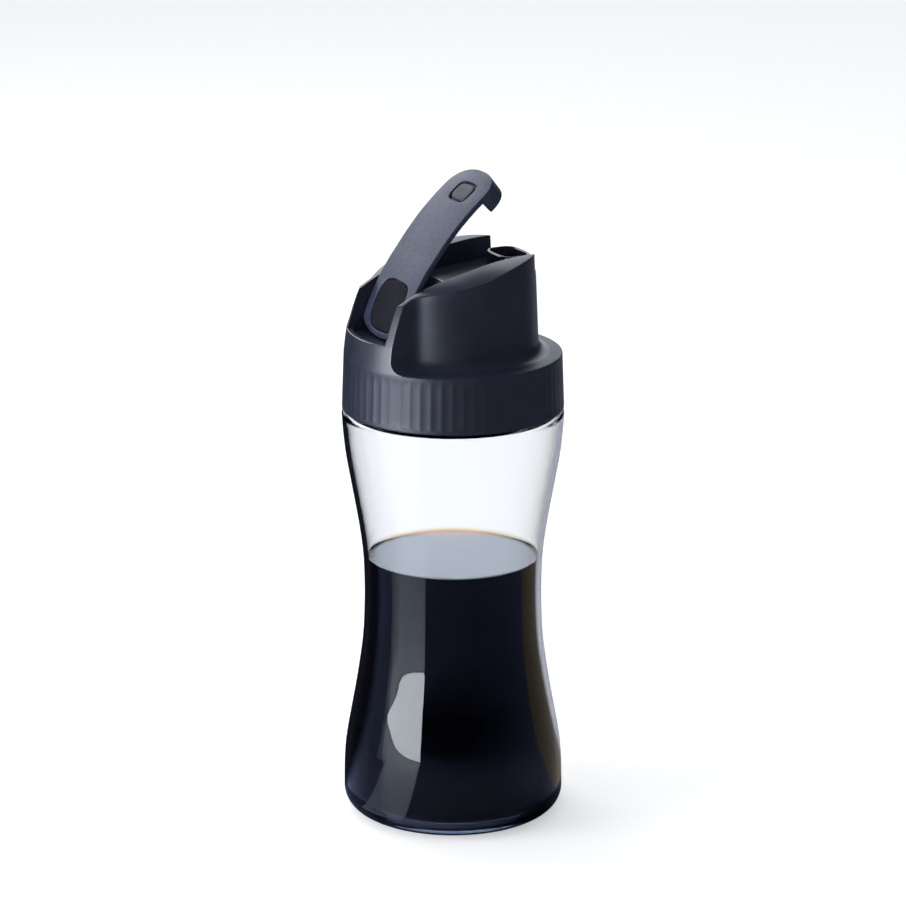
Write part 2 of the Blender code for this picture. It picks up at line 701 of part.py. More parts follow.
def opened(x, z):
    """Where a point of the closed lever lies when the lever is open."""
    turned = Matrix.Rotation(-OPEN_ANGLE, 3, "Y") @ Vector((x - HINGE_X, 0.0, z - HINGE_Z))
    return HINGE_X + turned.x, HINGE_Z + turned.z


def well_floor():
    """The well's floor lies just under the open lever's thumb end, and so is its stop."""
    lowest = CREST_Z
    for x, depth in lever_stations()[:4]:
        for down in (0.0, depth):
            point = lever_point(x, 0.0, down)
            lowest = min(lowest, opened(point[0], point[2])[1])
    return lowest - STOP_GAP


def rotated_ring(ring):
    """Moves a horizontal ring, whose heights are depths below the top face, onto the lever."""
    return [lever_point(x, y, depth) for x, y, depth in ring]


def pad_slab(inset, top, low):
    """The thumb pad's shape between two depths, bent along the lever's dip."""
    centre = LEVER_REAR_X + PAD_MARGIN + PAD_LENGTH / 2
    half_length = PAD_LENGTH / 2 - inset
    half_width = PAD_HALF_WIDTH - inset
    rings = []
    for angle in spread(-78, 78, 14):
        share = math.sin(math.radians(angle))
        x = centre + half_length * share
        side = half_width * (1 - abs(share) ** PAD_POWER) ** (1 / PAD_POWER)
        rings.append([lever_point(x, y, d) for y, d in ((-side, top), (-side, low), (side, low), (side, top))])
    return loft(rings)


def hang_on_lever(made, lever):
    made.parent = lever
    made.matrix_parent_inverse = Matrix()
    made.location = (0.0, 0.0, 0.0)


def make_lever(finish, hinge):
    lever = add_object(
        "lever_arm", loft([lever_section(x, depth) for x, depth in lever_stations()]), finish, hinge
    )
    tools = [("cut_hood", hood_hollow(), "DIFFERENCE")]
    for name, side in (("ear_left", 1), ("ear_right", -1)):
        tools.append((name, ear_solid(side), "UNION"))
    for name, side in (("trunnion_left", 1), ("trunnion_right", -1)):
        start = side * (LEVER_HALF_WIDTH - EAR_THICKNESS / 2)
        end = side * TRUNNION_END_Y
        tools.append((name, y_cylinder(TRUNNION_RADIUS, HINGE_X, HINGE_Z, start, end), "UNION"))
    for name, spare, low in (
        ("cut_plug_recess", PLUG_GROOVE, PLUG_HEAD_DEPTH + FIT_GAP),
        ("cut_plug_hole", FIT_GAP - PLUG_SHOULDER, LEVER_THICKNESS + CUT_OVERRUN),
    ):
        length, width = PLUG_HEAD_HALF_LENGTH + spare, PLUG_HEAD_HALF_WIDTH + spare
        rings = [
            rotated_ring(rounded_ring(MOUTH_X, depth, length, width, PLUG_POWER, 24))
            for depth in (-CUT_OVERRUN, low)
        ]
        tools.append((name, loft(rings), "DIFFERENCE"))
    tools.append(("cut_pad_recess", pad_slab(0.0, -CUT_OVERRUN, PAD_DEPTH + FIT_GAP), "DIFFERENCE"))
    for name, solid, operation in tools:
        tool = add_object(name, solid, None, hinge)
        hang_on_lever(tool, lever)
        boolean(lever, tool, operation)
    return lever


def make_plug(finish, hinge):
    nose_length = MOUTH_HALF_LENGTH - SPOUT_WALL - PLUG_NOSE_SPACE
    nose_width = MOUTH_HALF_WIDTH - SPOUT_WALL - PLUG_NOSE_SPACE
    nose_top = LEVER_THICKNESS + FIT_GAP
    nose_low = MOUTH_DROP + PLUG_NOSE_DEPTH
    taper = PLUG_NOSE_TAPER
    head = (PLUG_HEAD_HALF_LENGTH, PLUG_HEAD_HALF_WIDTH, PLUG_POWER)
    stem = (PLUG_HEAD_HALF_LENGTH - PLUG_SHOULDER, PLUG_HEAD_HALF_WIDTH - PLUG_SHOULDER, PLUG_POWER)
    levels = [
        (0.0, *head),
        (PLUG_HEAD_DEPTH, *head),
        (PLUG_HEAD_DEPTH, *stem),
        (nose_top, *stem),
        (nose_top, nose_length, nose_width, MOUTH_POWER),
        (nose_low, nose_length - taper, nose_width - taper, MOUTH_POWER),
    ]
    rings = [rotated_ring(rounded_ring(MOUTH_X, *level, 24)) for level in levels]
    return add_object("spout_plug", loft(rings), finish, hinge)


def make_pad(finish, hinge):
    return add_object("thumb_pad", pad_slab(FIT_GAP, PAD_SINK, PAD_DEPTH), finish, hinge)


def main():
    for existing in list(bpy.data.objects):
        bpy.data.objects.remove(existing)
    clear = material("clear_plastic", (0.90, 0.93, 0.96), 0.03, 0.30)
    liquid = material("vinegar", (0.012, 0.007, 0.006), 0.05)
    cap_plastic = material("cap_plastic", (0.016, 0.018, 0.028), 0.42)
    lever_plastic = material("lever_plastic", (0.030, 0.033, 0.044), 0.50)
    silicone = material("dark_silicone", (0.022, 0.023, 0.031), 0.60)
    seal = material("seal_silicone", (0.55, 0.57, 0.60), 0.55)

    hinge = (HINGE_X, 0.0, HINGE_Z)
    make_bottle(clear)
    make_vinegar(liquid)
    make_gasket(seal)
    make_cap(cap_plastic, well_floor())
    make_insert(cap_plastic)
    lever = make_lever(lever_plastic, hinge)
    for made in (make_plug(silicone, hinge), make_pad(silicone, hinge)):
        hang_on_lever(made, lever)
    lever.rotation_euler = (0.0, -OPEN_ANGLE, 0.0)


main()
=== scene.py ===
"""Looks of the oil and vinegar dispenser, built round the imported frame.

The origin is the centre of the foot, +Z is up and the spout points along +X. Lengths are in
metres. The lever's pieces are drawn closed and then turned open about the hinge, as the frame has
them at rest. Every CAD node is replaced by a finer piece, and the cap by two.
"""

from math import asin, cos, hypot, pi, radians, sin, sqrt

import bmesh
import bpy
from mathutils import Matrix, Vector


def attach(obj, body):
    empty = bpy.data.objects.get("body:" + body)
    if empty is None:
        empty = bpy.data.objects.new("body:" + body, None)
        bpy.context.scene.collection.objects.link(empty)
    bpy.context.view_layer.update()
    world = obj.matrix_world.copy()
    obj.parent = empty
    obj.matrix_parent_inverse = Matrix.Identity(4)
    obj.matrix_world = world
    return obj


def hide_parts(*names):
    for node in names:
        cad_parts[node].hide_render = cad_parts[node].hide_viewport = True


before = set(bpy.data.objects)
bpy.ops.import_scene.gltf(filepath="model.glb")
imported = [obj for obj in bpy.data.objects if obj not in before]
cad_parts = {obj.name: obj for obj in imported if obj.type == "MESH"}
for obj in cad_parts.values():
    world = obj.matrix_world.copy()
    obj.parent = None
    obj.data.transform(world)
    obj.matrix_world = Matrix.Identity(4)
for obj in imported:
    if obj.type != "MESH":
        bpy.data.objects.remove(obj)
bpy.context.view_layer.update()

MM = 0.001

# Clearances and tolerances
FIT_GAP = 0.3 * MM
STOP_GAP = 0.4 * MM
THREAD_SPACE = 1.2 * MM
AIR_GAP = 0.03 * MM
OVERRUN = 4 * MM
TINY = 0.001 * MM
WELD_DISTANCE = 0.002 * MM

# Bottle
BODY_RADIUS = 43.1 * MM
WAIST_RADIUS = BODY_RADIUS - 8.5 * MM
WAIST_HEIGHT = 90 * MM
SHOULDER_HEIGHT = 163.4 * MM
SHOULDER_ROUND = 2.4 * MM
BASE_ROUND = 8.4 * MM
FOOT_RADIUS = BODY_RADIUS - BASE_ROUND
FOOT_WIDTH = 8 * MM
PUSH_UP_DEPTH = 1.2 * MM
PUSH_UP_CURVE_SHARE = 0.8
BOTTLE_WALL = 1.8 * MM
BASE_THICKNESS = 2.6 * MM
BASE_TOP_Z = PUSH_UP_DEPTH + BASE_THICKNESS
SHOULDER_WALL = 1.55 * MM
NECK_RADIUS = BODY_RADIUS - 4.2 * MM
NECK_WALL = 2.2 * MM
NECK_ROOT_ROUND = 1.2 * MM
NECK_BORE_RISE = 3 * MM
LIP_ROUND = 0.4 * MM
SIDE_SOFTENING = 5 * MM
LOWER_SIDE_SHARES = ((0.16, 1.0), (0.27, 0.95), (0.42, 0.70), (0.61, 0.34), (0.83, 0.05), (1.0, 0.0))
UPPER_SIDE_SHARES = ((0.0, 0.0), (0.16, 0.03), (0.31, 0.165), (0.56, 0.53), (0.80, 0.88), (0.96, 1.0))
FILL_HEIGHT = WAIST_HEIGHT + 14.9 * MM
MENISCUS = 1.6 * MM
MENISCUS_START_DEG = -18
LEVEL_SHARES = (0.85, 0.6, 0.3, 0.0)
LATHE_SIDES = 192

# Thread: two starts, drawn on the neck and in the cap half a pitch apart
THREAD_LEAD = 12 * MM
THREAD_STARTS = 2
THREAD_HEIGHT = 0.9 * MM
THREAD_WIDTH_SHARE = 0.30
THREAD_RUN_OUT = 2.2 * MM
THREAD_CREST = 1.8
THREAD_SLOPE = 1.2

# Gasket
GASKET_THICKNESS = 1.4 * MM
GASKET_WIDTH = 2.6 * MM
GASKET_EDGE_ROUND = 0.3 * MM
GASKET_SIDES = 144

# Skirt of the cap
CAP_RADIUS = BODY_RADIUS - 0.1 * MM
LEDGE_RADIUS = CAP_RADIUS - 0.8 * MM
SKIRT_Z = SHOULDER_HEIGHT + FIT_GAP
SKIRT_HEIGHT = 22.1 * MM
LEDGE_Z = SKIRT_Z + SKIRT_HEIGHT
SKIRT_EDGE_ROUND = 0.7 * MM
LEDGE_EDGE_ROUND = 0.6 * MM
DECK_THICKNESS = 1.9 * MM
DECK_UNDER_Z = LEDGE_Z - DECK_THICKNESS
DECK_HOLE_RADIUS = 27 * MM
CAP_BORE_RADIUS = NECK_RADIUS + THREAD_SPACE
GASKET_TOP_Z = DECK_UNDER_Z - FIT_GAP
NECK_TOP_Z = GASKET_TOP_Z - GASKET_THICKNESS - FIT_GAP
NECK_THREAD_Z = (SHOULDER_HEIGHT + 1.5 * MM, NECK_TOP_Z - 1.0 * MM)
CAP_THREAD_Z = (SKIRT_Z + 1.2 * MM, DECK_UNDER_Z - 2.0 * MM)
FLUTE_COUNT = 64
SIDES_PER_FLUTE = 6
FLUTE_DEPTH = 0.19 * MM
FLUTE_MARGIN = 1.5 * MM
FLUTE_FADE = 3.0 * MM
FLUTE_START = 0.5 * MM
FLUTE_POWER = 0.62
BORE_TOP_CHAMFER = 0.6 * MM
BORE_CHAMFER = 0.4 * MM

# Tower of the cap
TOWER_X = 0.3 * MM
TOWER_HALF_LENGTH = LEDGE_RADIUS - 8.6 * MM - TOWER_X
TOWER_HALF_WIDTH = LEDGE_RADIUS - 10.9 * MM
TOWER_DRAFT_SHARE = 0.04
TOWER_FILLET = 4.5 * MM
FILLET_ANGLES_DEG = (2, 8, 16, 25, 34, 44, 55, 67, 80, 90)
WING_HALF_WIDTH = 19.7 * MM
WING_DRAFT_SHARE = 0.055
WING_BLEND_POWER = 18
WING_RISE_SHARE = 0.4
COLLAR_HEIGHT = 24.7 * MM
COLLAR_LEAN = 6.2 * MM
COLLAR_LEAN_SHARES = (
    (0.0, 0.0), (0.22, 0.10), (0.41, 0.22), (0.575, 0.43),
    (0.74, 0.63), (0.88, 0.82), (1.0, 1.0), (1.7, 2.0),
)
CREST_Z = LEDGE_Z + 39.1 * MM
CREST_FALL = 14.3 * MM
CREST_SHARES = (
    (-1.40, 1.50), (-0.97, 1.0), (-0.74, 0.72), (-0.45, 0.48), (-0.19, 0.33), (0.07, 0.18),
    (0.33, 0.07), (0.62, 0.01), (0.80, 0.0), (1.40, 0.0),
)
CRESCENT_SLOPE_SHARE = 0.16
CRESCENT_LEVEL_SHARE = 0.75
NOTCH_HALF_WIDTH = 15.7 * MM
CHANNEL_HALF_WIDTH = NOTCH_HALF_WIDTH + 1.8 * MM
SILL_HEIGHT = 9.9 * MM
SILL_Z = LEDGE_Z + SILL_HEIGHT
SILL_WALL = 2.3 * MM
THROAT_Z = LEDGE_Z + 27.7 * MM
SHELF_Z = THROAT_Z + 3.6 * MM
SHELF_CURVE_SHARE = 0.7
EDGE_ROUND = 0.8 * MM
EDGE_WEIGHT = 0.5
EDGE_SHARP_DEG = 30
EDGE_LOWEST_Z = LEDGE_Z + 2 * MM
SETTLING_ROUNDS = 12

# Lever
TOWER_FRONT_X = TOWER_X + TOWER_HALF_LENGTH - TOWER_DRAFT_SHARE * (CREST_Z - LEDGE_Z)
LEVER_HALF_WIDTH = NOTCH_HALF_WIDTH - 0.5 * MM
LEVER_THICKNESS = 2.1 * MM
LEVER_REAR_X = 5.2 * MM - LEDGE_RADIUS
LEVER_REAR_ROUND = 4.6 * MM
LEVER_REAR_POWER = 2.0
LEVER_FRONT_POWER = 2.4
LEVER_EDGE_ROUND = 0.45 * MM
HOOD_DEPTH = 7.2 * MM
HOOD_WALL = 2.0 * MM
HOOD_STEP = 0.4 * MM
LEVER_FRONT_X = TOWER_FRONT_X + 1.35 * MM + HOOD_WALL
THUMB_DIP = 2.7 * MM
THUMB_DIP_LENGTH = 27.9 * MM
THUMB_DIP_SHARES = (
    (0.0, 0.0), (0.16, 0.11), (0.31, 0.215), (0.46, 0.30),
    (0.60, 0.355), (0.75, 0.38), (0.88, 0.53), (1.0, 1.0),
)
HINGE_X = LEVER_REAR_X + 17.66 * MM
HINGE_Z = LEDGE_Z + 21.6 * MM
OPEN_ANGLE = radians(38.2)
TRUNNION_RADIUS = 2.3 * MM
TRUNNION_SIDES = 40
TRUNNION_END_Y = NOTCH_HALF_WIDTH + 3.2 * MM
EAR_RADIUS = 4.2 * MM
EAR_THICKNESS = 2.6 * MM
EAR_ROOT_LENGTH = 7.0 * MM
EAR_SET_IN = 0.35 * MM
SOCKET_OVERLAP = 1 * MM
RECESS_BEVEL = 0.25 * MM
WELL_FRONT_X = HINGE_X + 10.3 * MM
THROAT_X = WELL_FRONT_X + 5.0 * MM

# Spout, plug and pad
MOUTH_X = TOWER_FRONT_X - 7.8 * MM
MOUTH_HALF_LENGTH = 6.7 * MM
MOUTH_HALF_WIDTH = 9.4 * MM
MOUTH_Z = CREST_Z - 2.6 * MM
MOUTH_POWER = 3.4
OVAL_POWER = 2.0
INSERT_SPACE = 1.2 * MM
SPOUT_WALL = 1.3 * MM
SPOUT_THROAT_Z = LEDGE_Z + 20 * MM
FUNNEL_X = MOUTH_X - 12.3 * MM
FUNNEL_HALF_LENGTH = 15 * MM
FUNNEL_HALF_WIDTH = 17.5 * MM
FUNNEL_Z = LEDGE_Z + 3 * MM
PLATE_THICKNESS = 1.2 * MM
PLUG_HALF_LENGTH = 3.9 * MM
PLUG_HALF_WIDTH = 5.6 * MM
PLUG_HEAD_DEPTH = 1.0 * MM
PLUG_GROOVE = 0.9 * MM
PLUG_SHOULDER = 1.2 * MM
PLUG_POWER = 3.6
PLUG_SIDES = 48
PLUG_NOSE_TOP = LEVER_THICKNESS + FIT_GAP
PLUG_NOSE_LOW = 4.6 * MM
PLUG_NOSE_INSET = SPOUT_WALL + 0.7 * MM
PAD_HALF_WIDTH = 10.7 * MM
PAD_HALF_LENGTH = 9.2 * MM
PAD_CENTRE_X = LEVER_REAR_X + 1.6 * MM + PAD_HALF_LENGTH
PAD_DEPTH = 1.0 * MM
PAD_SINK = 0.2 * MM
PAD_POWER = 3.6

# Plans of upright shapes: centre x, half length, half width, power
MOUTH_PLAN = (MOUTH_X, MOUTH_HALF_LENGTH, MOUTH_HALF_WIDTH, MOUTH_POWER)
FUNNEL_PLAN = (FUNNEL_X, FUNNEL_HALF_LENGTH, FUNNEL_HALF_WIDTH, OVAL_POWER)
PLUG_PLAN = (MOUTH_X, PLUG_HALF_LENGTH, PLUG_HALF_WIDTH, PLUG_POWER)
NOSE_PLAN = (MOUTH_X, MOUTH_HALF_LENGTH - PLUG_NOSE_INSET, MOUTH_HALF_WIDTH - PLUG_NOSE_INSET, MOUTH_POWER)
PAD_PLAN = (PAD_CENTRE_X, PAD_HALF_LENGTH, PAD_HALF_WIDTH, PAD_POWER)

# Sections as (growth of the plan, depth): the plug's head from the middle out, its nose from
# the lever down, and the pad's top from the edge in, below the pad's own sink
PLUG_HEAD = (
    (-2.4 * MM, 0.02 * MM), (-1.2 * MM, 0.0), (-0.4 * MM, 0.06 * MM), (-0.12 * MM, 0.2 * MM),
    (0.0, 0.45 * MM), (0.0, PLUG_HEAD_DEPTH),
    (-PLUG_SHOULDER, PLUG_HEAD_DEPTH), (-PLUG_SHOULDER, PLUG_NOSE_TOP),
)
PLUG_NOSE = (
    (-0.3 * MM, PLUG_NOSE_TOP), (0.0, PLUG_NOSE_TOP + 0.3 * MM), (-0.2 * MM, 3.8 * MM),
    (-0.7 * MM, PLUG_NOSE_LOW - 0.25 * MM), (-1.2 * MM, PLUG_NOSE_LOW),
)
PAD_TOP = (
    (-FIT_GAP, 0.35 * MM), (-FIT_GAP - 0.12 * MM, 0.12 * MM), (-FIT_GAP - 0.45 * MM, 0.0),
    (-1.6 * MM, 0.03 * MM), (-3.2 * MM, 0.12 * MM), (-5.4 * MM, 0.16 * MM), (-8.5 * MM, 0.18 * MM),
)

# Camera, with its focal length in pixels of the photo
PHOTO_FOCAL = 4027.7
PHOTO_WIDTH = 906
CAMERA_SENSOR = 36
CAMERA_TURN = radians(-28)
CAMERA_DISTANCE = 1.5
CAMERA_HEIGHT = 0.5844
CAMERA_PITCH = radians(16.34)

# Stage. FILL_GLOW lights matt faces. In a gloss the room has ROOM_GLOW, and its backdrop
# RIM_GLOW, or BACKDROP_GLOW through clear plastic
FLOOR_SIZE = 7.0
FLOOR_Z = -0.0001
FLOOR_UNDER_Z = -0.012
CARD_LIFT = 0.0004
FLOOR_GLOW = 0.45
FILL_GLOW = 0.46
ROOM_GLOW = 0.015
BACKDROP_GLOW = 3.9
RIM_GLOW = 1.7
DARK_REACH = 0.32


def smooth_curve(stations):
    """A function through the stations that never overshoots them (monotone cubic). It stays
    level beyond the first and the last."""
    xs = [x for x, _ in stations]
    ys = [y for _, y in stations]
    slopes = [(ys[i + 1] - ys[i]) / (xs[i + 1] - xs[i]) for i in range(len(xs) - 1)]
    tangents = [slopes[0]]
    for before, after in zip(slopes, slopes[1:]):
        tangents.append(0.0 if before * after <= 0 else 2 * before * after / (before + after))
    tangents.append(slopes[-1])

    def value(x):
        x = min(max(x, xs[0]), xs[-1])
        i = max(k for k in range(len(xs) - 1) if xs[k] <= x)
        step = xs[i + 1] - xs[i]
        t = (x - xs[i]) / step
        return (
            ys[i] * (1 + 2 * t) * (1 - t) ** 2
            + tangents[i] * step * t * (1 - t) ** 2
            + ys[i + 1] * t * t * (3 - 2 * t)
            + tangents[i + 1] * step * t * t * (t - 1)
        )

    return value


def spread(start, end, steps):
    return [start + (end - start) * k / steps for k in range(steps + 1)]


def clamped(value):
    return min(max(value, 0.0), 1.0)


def nearest(values, target):
    return min(range(len(values)), key=lambda k: abs(values[k] - target))


def cos_deg(angle):
    return cos(radians(angle))


def sin_deg(angle):
    return sin(radians(angle))


def arc(centre_x, centre_z, size, start_deg, end_deg, steps):
    turns = spread(start_deg, end_deg, steps)
    return [(centre_x + size * cos_deg(a), centre_z + size * sin_deg(a)) for a in turns]


def full_turn(sides):
    return [2 * pi * k / sides for k in range(sides)]


# Mesh building


def grid(built, rows, closed=False):
    """Quads through rows of points. A closed grid joins the ends of each row."""
    loops = [[built.verts.new(point) for point in row] for row in rows]
    for lower, upper in zip(loops, loops[1:]):
        count = len(lower)
        for k in range(count if closed else count - 1):
            j = (k + 1) % count
            built.faces.new((lower[k], lower[j], upper[j], upper[k]))
    return loops


def cap_off(built, points):
    built.faces.new([built.verts.new(point) for point in points])


def loft(rings, closed=False):
    """A solid through rings of points. A closed loft joins the last ring to the first."""
    built = bmesh.new()
    loops = grid(built, rings + ([rings[0]] if closed else []), closed=True)
    if not closed:
        built.faces.new(loops[0])
        built.faces.new(loops[-1])
    return built


def lathe(profile, sides, radius_at=None):
    """Turns a closed profile of (radius, height) about Z. Zero radii end in poles. radius_at
    may change a radius by height and angle."""
    rows = []
    for radius, height in profile:
        row = []
        for angle in full_turn(sides):
            reach = radius_at(radius, height, angle) if radius_at else radius
            row.append((reach * cos(angle), reach * sin(angle), height))
        rows.append(row)
    built = bmesh.new()
    grid(built, rows + [rows[0]], closed=True)
    return built


def shade(mesh, sharp_deg):
    mesh.shade_smooth()
    mesh.set_sharp_from_angle(angle=radians(sharp_deg))


def new_object(name, data):
    made = bpy.data.objects.new(name, data)
    bpy.context.scene.collection.objects.link(made)
    return made


def solid_object(name, built, sharp_deg=32):
    """Welds a mesh under construction and makes an object of it."""
    bmesh.ops.remove_doubles(built, verts=built.verts, dist=WELD_DISTANCE)
    bmesh.ops.dissolve_degenerate(built, dist=TINY, edges=built.edges)
    bmesh.ops.recalc_face_normals(built, faces=built.faces)
    mesh = bpy.data.meshes.new(name)
    built.to_mesh(mesh)
    built.free()
    shade(mesh, sharp_deg)
    return new_object(name, mesh)


def bake_modifiers(made, sharp_deg=32):
    graph = bpy.context.evaluated_depsgraph_get()
    mesh = bpy.data.meshes.new_from_object(made.evaluated_get(graph))
    made.modifiers.clear()
    made.data = mesh
    shade(mesh, sharp_deg)


def cut(target, built, operation="DIFFERENCE"):
    tool = solid_object("tool", built)
    modifier = target.modifiers.new("cut", "BOOLEAN")
    modifier.operation = operation
    modifier.solver = "EXACT"
    modifier.object = tool
    bake_modifiers(target)
    bpy.data.objects.remove(tool)


def dress(made, finish, body, slot, *replaced):
    if not made.data.materials:
        made.data.materials.append(finish)
    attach(made, body)
    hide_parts(*replaced)


def rounded_ring(plan, height, growth=0.0, sides=72):
    """A ring between an oval and a rectangle, with the plan grown outwards."""
    centre_x, half_length, half_width, power = plan
    half_length, half_width = half_length + growth, half_width + growth
    ring = []
    for angle in full_turn(sides):
        across = abs(cos(angle) / half_length) ** power + abs(sin(angle) / half_width) ** power
        reach = across ** (-1 / power)
        ring.append((centre_x + reach * cos(angle), reach * sin(angle), height))
    return ring


# Materials


class Graph:
    """Short ways to add nodes to the tree of a material or of the world."""

    def __init__(self, tree):
        self.tree = tree

    def add(self, kind, inputs=None, output=0, **settings):
        """Adds a node and returns one of its outputs. An input given as a socket is linked."""
        node = self.tree.nodes.new("ShaderNode" + kind)
        for setting, value in settings.items():
            setattr(node, setting, value)
        for key, value in (inputs or {}).items():
            if isinstance(value, bpy.types.NodeSocket):
                self.tree.links.new(value, node.inputs[key])
            else:
                node.inputs[key].default_value = value
        return node.outputs[output]

    def colours(self, source, *stops):
        """A ramp through stops of (place, colour)."""
        made = self.add("ValToRGB", {"Fac": source}, "Color")
        ramp = made.node.color_ramp
        while len(ramp.elements) < len(stops):
            ramp.elements.new(0.5)
        for element, (place, colour) in zip(ramp.elements, stops):
            element.position = place
            element.color = (*colour, 1.0)
        return made


class Finish(Graph):
    """A Principled material whose patterns follow the object's own coordinates."""

    def __init__(self, name, colour, roughness, **sockets):
        self.material = bpy.data.materials.new(name)
        self.material.use_nodes = True
        super().__init__(self.material.node_tree)
        self.shader = self.tree.nodes["Principled BSDF"]
        self.output = self.tree.nodes["Material Output"]
        self.shader.inputs["Base Color"].default_value = (*colour, 1.0)
        self.shader.inputs["Roughness"].default_value = roughness
        for socket, value in sockets.items():
            self.shader.inputs[socket.replace("_", " ")].default_value = value
        self.place = self.add("TexCoord", output="Object")

    def noise(self, scale, detail=3.0, roughness=0.55, stretch=None):
        place = self.add("Mapping", {"Scale": stretch, "Vector": self.place}) if stretch else self.place
        inputs = {"Scale": scale, "Detail": detail, "Roughness": roughness, "Vector": place}
        return self.add("TexNoise", inputs, "Fac")

    def span(self, source, low, high):
        """Stretches the middle of a noise over a range."""
        inputs = {"From Min": 0.3, "From Max": 0.7, "To Min": low, "To Max": high, "Value": source}
        return self.add("MapRange", inputs, "Result")

    def bump(self, source, distance, strength, below=None):
        inputs = {"Strength": strength, "Distance": distance, "Height": source}
        return self.add("Bump", {**inputs, "Normal": below} if below else inputs, "Normal")

    def paint(self, **sources):
        """Links sources to the shader's sockets."""
        for socket, source in sources.items():
            self.tree.links.new(source, self.shader.inputs[socket.replace("_", " ")])

    def tint(self, colour, density):
        """Fills the inside with something that takes up light."""
        inside = self.add("VolumeAbsorption", {"Color": (*colour, 1.0), "Density": density}, "Volume")
        self.tree.links.new(inside, self.output.inputs["Volume"])

    def let_lamps_through(self):
        """Mixes in a clear shader for shadow rays, because light from lamps can't be traced
        through glass."""
        shadow = self.add("LightPath", output="Is Shadow Ray")
        clear = self.add("BsdfTransparent")
        surface = self.add("MixShader", {0: shadow, 1: self.shader.outputs[0], 2: clear})
        self.tree.links.new(surface, self.output.inputs["Surface"])


def clear_finish():
    """Clear moulded plastic, faintly uneven and a little blue through its thickness."""
    made = Finish("clear_plastic", (1.0, 1.0, 1.0), 0.02, Transmission_Weight=1.0, IOR=1.46)
    made.paint(
        Roughness=made.span(made.noise(60, 2), 0.0, 0.03),
        Normal=made.bump(made.noise(45, 1, 0.4, (1, 1, 0.3)), 0.05 * MM, 0.25),
    )
    made.let_lamps_through()
    made.tint((0.1, 0.25, 0.45), 24)
    return made.material


def vinegar_finish():
    """Near black in depth and amber where it is thin."""
    made = Finish("vinegar", (1.0, 1.0, 1.0), 0.0, Transmission_Weight=1.0, IOR=1.345)
    made.tint((0.82, 0.52, 0.0), 1200)
    return made.material


def cap_finish(name, smoothest, roughest, specular):
    made = Finish(name, (0.020, 0.025, 0.046), roughest, Specular_IOR_Level=specular)
    grain = made.noise(2600, 2, 0.6)
    cloud = made.noise(70)
    made.paint(
        Base_Color=made.colours(cloud, (0.3, (0.0185, 0.0225, 0.042)), (0.7, (0.0225, 0.0275, 0.050))),
        Roughness=made.span(cloud, smoothest, roughest),
        Normal=made.bump(grain, 0.02 * MM, 0.5),
    )
    return made.material


def painted_highlight_edge_finish():
    """Rounded edges of the tower, smoother than its faces so they catch the light, and a lighter colour
    that is a painted highlight.
    """
    made = Finish("cap_edge_painted_highlight", (0.030, 0.034, 0.050), 0.18, Specular_IOR_Level=0.9)
    made.paint(
        Roughness=made.span(made.noise(300), 0.14, 0.24),
        Normal=made.bump(made.noise(1400, 2), 0.01 * MM, 0.4),
    )
    return made.material


def lever_finish():
    """A fine spark texture: grain with pits in it."""
    made = Finish("lever_plastic", (0.030, 0.033, 0.044), 0.46)
    grain = made.noise(1500, 2, 0.6)
    pits = made.add("TexVoronoi", {"Scale": 1100, "Vector": made.place}, "Distance")
    low = made.bump(grain, 0.10 * MM, 0.9)
    made.paint(
        Base_Color=made.colours(grain, (0.35, (0.012, 0.018, 0.044)), (0.65, (0.042, 0.055, 0.116))),
        Roughness=made.span(made.noise(90), 0.43, 0.50),
        Normal=made.bump(pits, 0.05 * MM, 0.35, low),
    )
    return made.material


def rubber_finish(name, dark, light, roughness, specular):
    made = Finish(name, dark, roughness, Specular_IOR_Level=specular)
    made.paint(
        Base_Color=made.colours(made.noise(1500), (0.35, dark), (0.65, light)),
        Roughness=made.span(made.noise(110), roughness - 0.05, roughness + 0.05),
        Normal=made.bump(made.noise(2000, 2), 0.04 * MM, 0.7),
    )
    return made.material


def insert_finish():
    made = Finish("insert_plastic", (0.016, 0.018, 0.028), 0.16, Specular_IOR_Level=0.6)
    made.paint(
        Roughness=made.span(made.noise(120), 0.12, 0.20),
        Normal=made.bump(made.noise(900, 2), 0.01 * MM, 0.3),
    )
    return made.material


def seal_finish():
    soft = {"Subsurface_Weight": 0.15, "Subsurface_Scale": 0.002}
    made = Finish("seal_silicone", (0.55, 0.57, 0.60), 0.50, **soft)
    made.paint(
        Base_Color=made.colours(made.noise(160), (0.3, (0.50, 0.52, 0.55)), (0.7, (0.60, 0.62, 0.65))),
        Normal=made.bump(made.noise(1500, 2), 0.02 * MM, 0.4),
    )
    return made.material


# Bottle

SIDE_SWELL = BODY_RADIUS - WAIST_RADIUS
UPPER_RISE = SHOULDER_HEIGHT - WAIST_HEIGHT
SIDE_STATIONS = [(WAIST_HEIGHT * h, WAIST_RADIUS + SIDE_SWELL * r) for h, r in LOWER_SIDE_SHARES]
SIDE_STATIONS += [
    (WAIST_HEIGHT + UPPER_RISE * h, WAIST_RADIUS + SIDE_SWELL * r) for h, r in UPPER_SIDE_SHARES[1:]
]
SIDE = smooth_curve(SIDE_STATIONS)
SIDE_LOW = SIDE_STATIONS[0][0]
SIDE_HIGH = SIDE_STATIONS[-1][0]


def softened_side(z):
    """The side's radius, averaged over a short height so that it has no sudden bends."""
    places = [z + SIDE_SOFTENING * share for share in spread(-1.0, 1.0, 8)]
    return sum(SIDE(place) for place in places) / len(places)


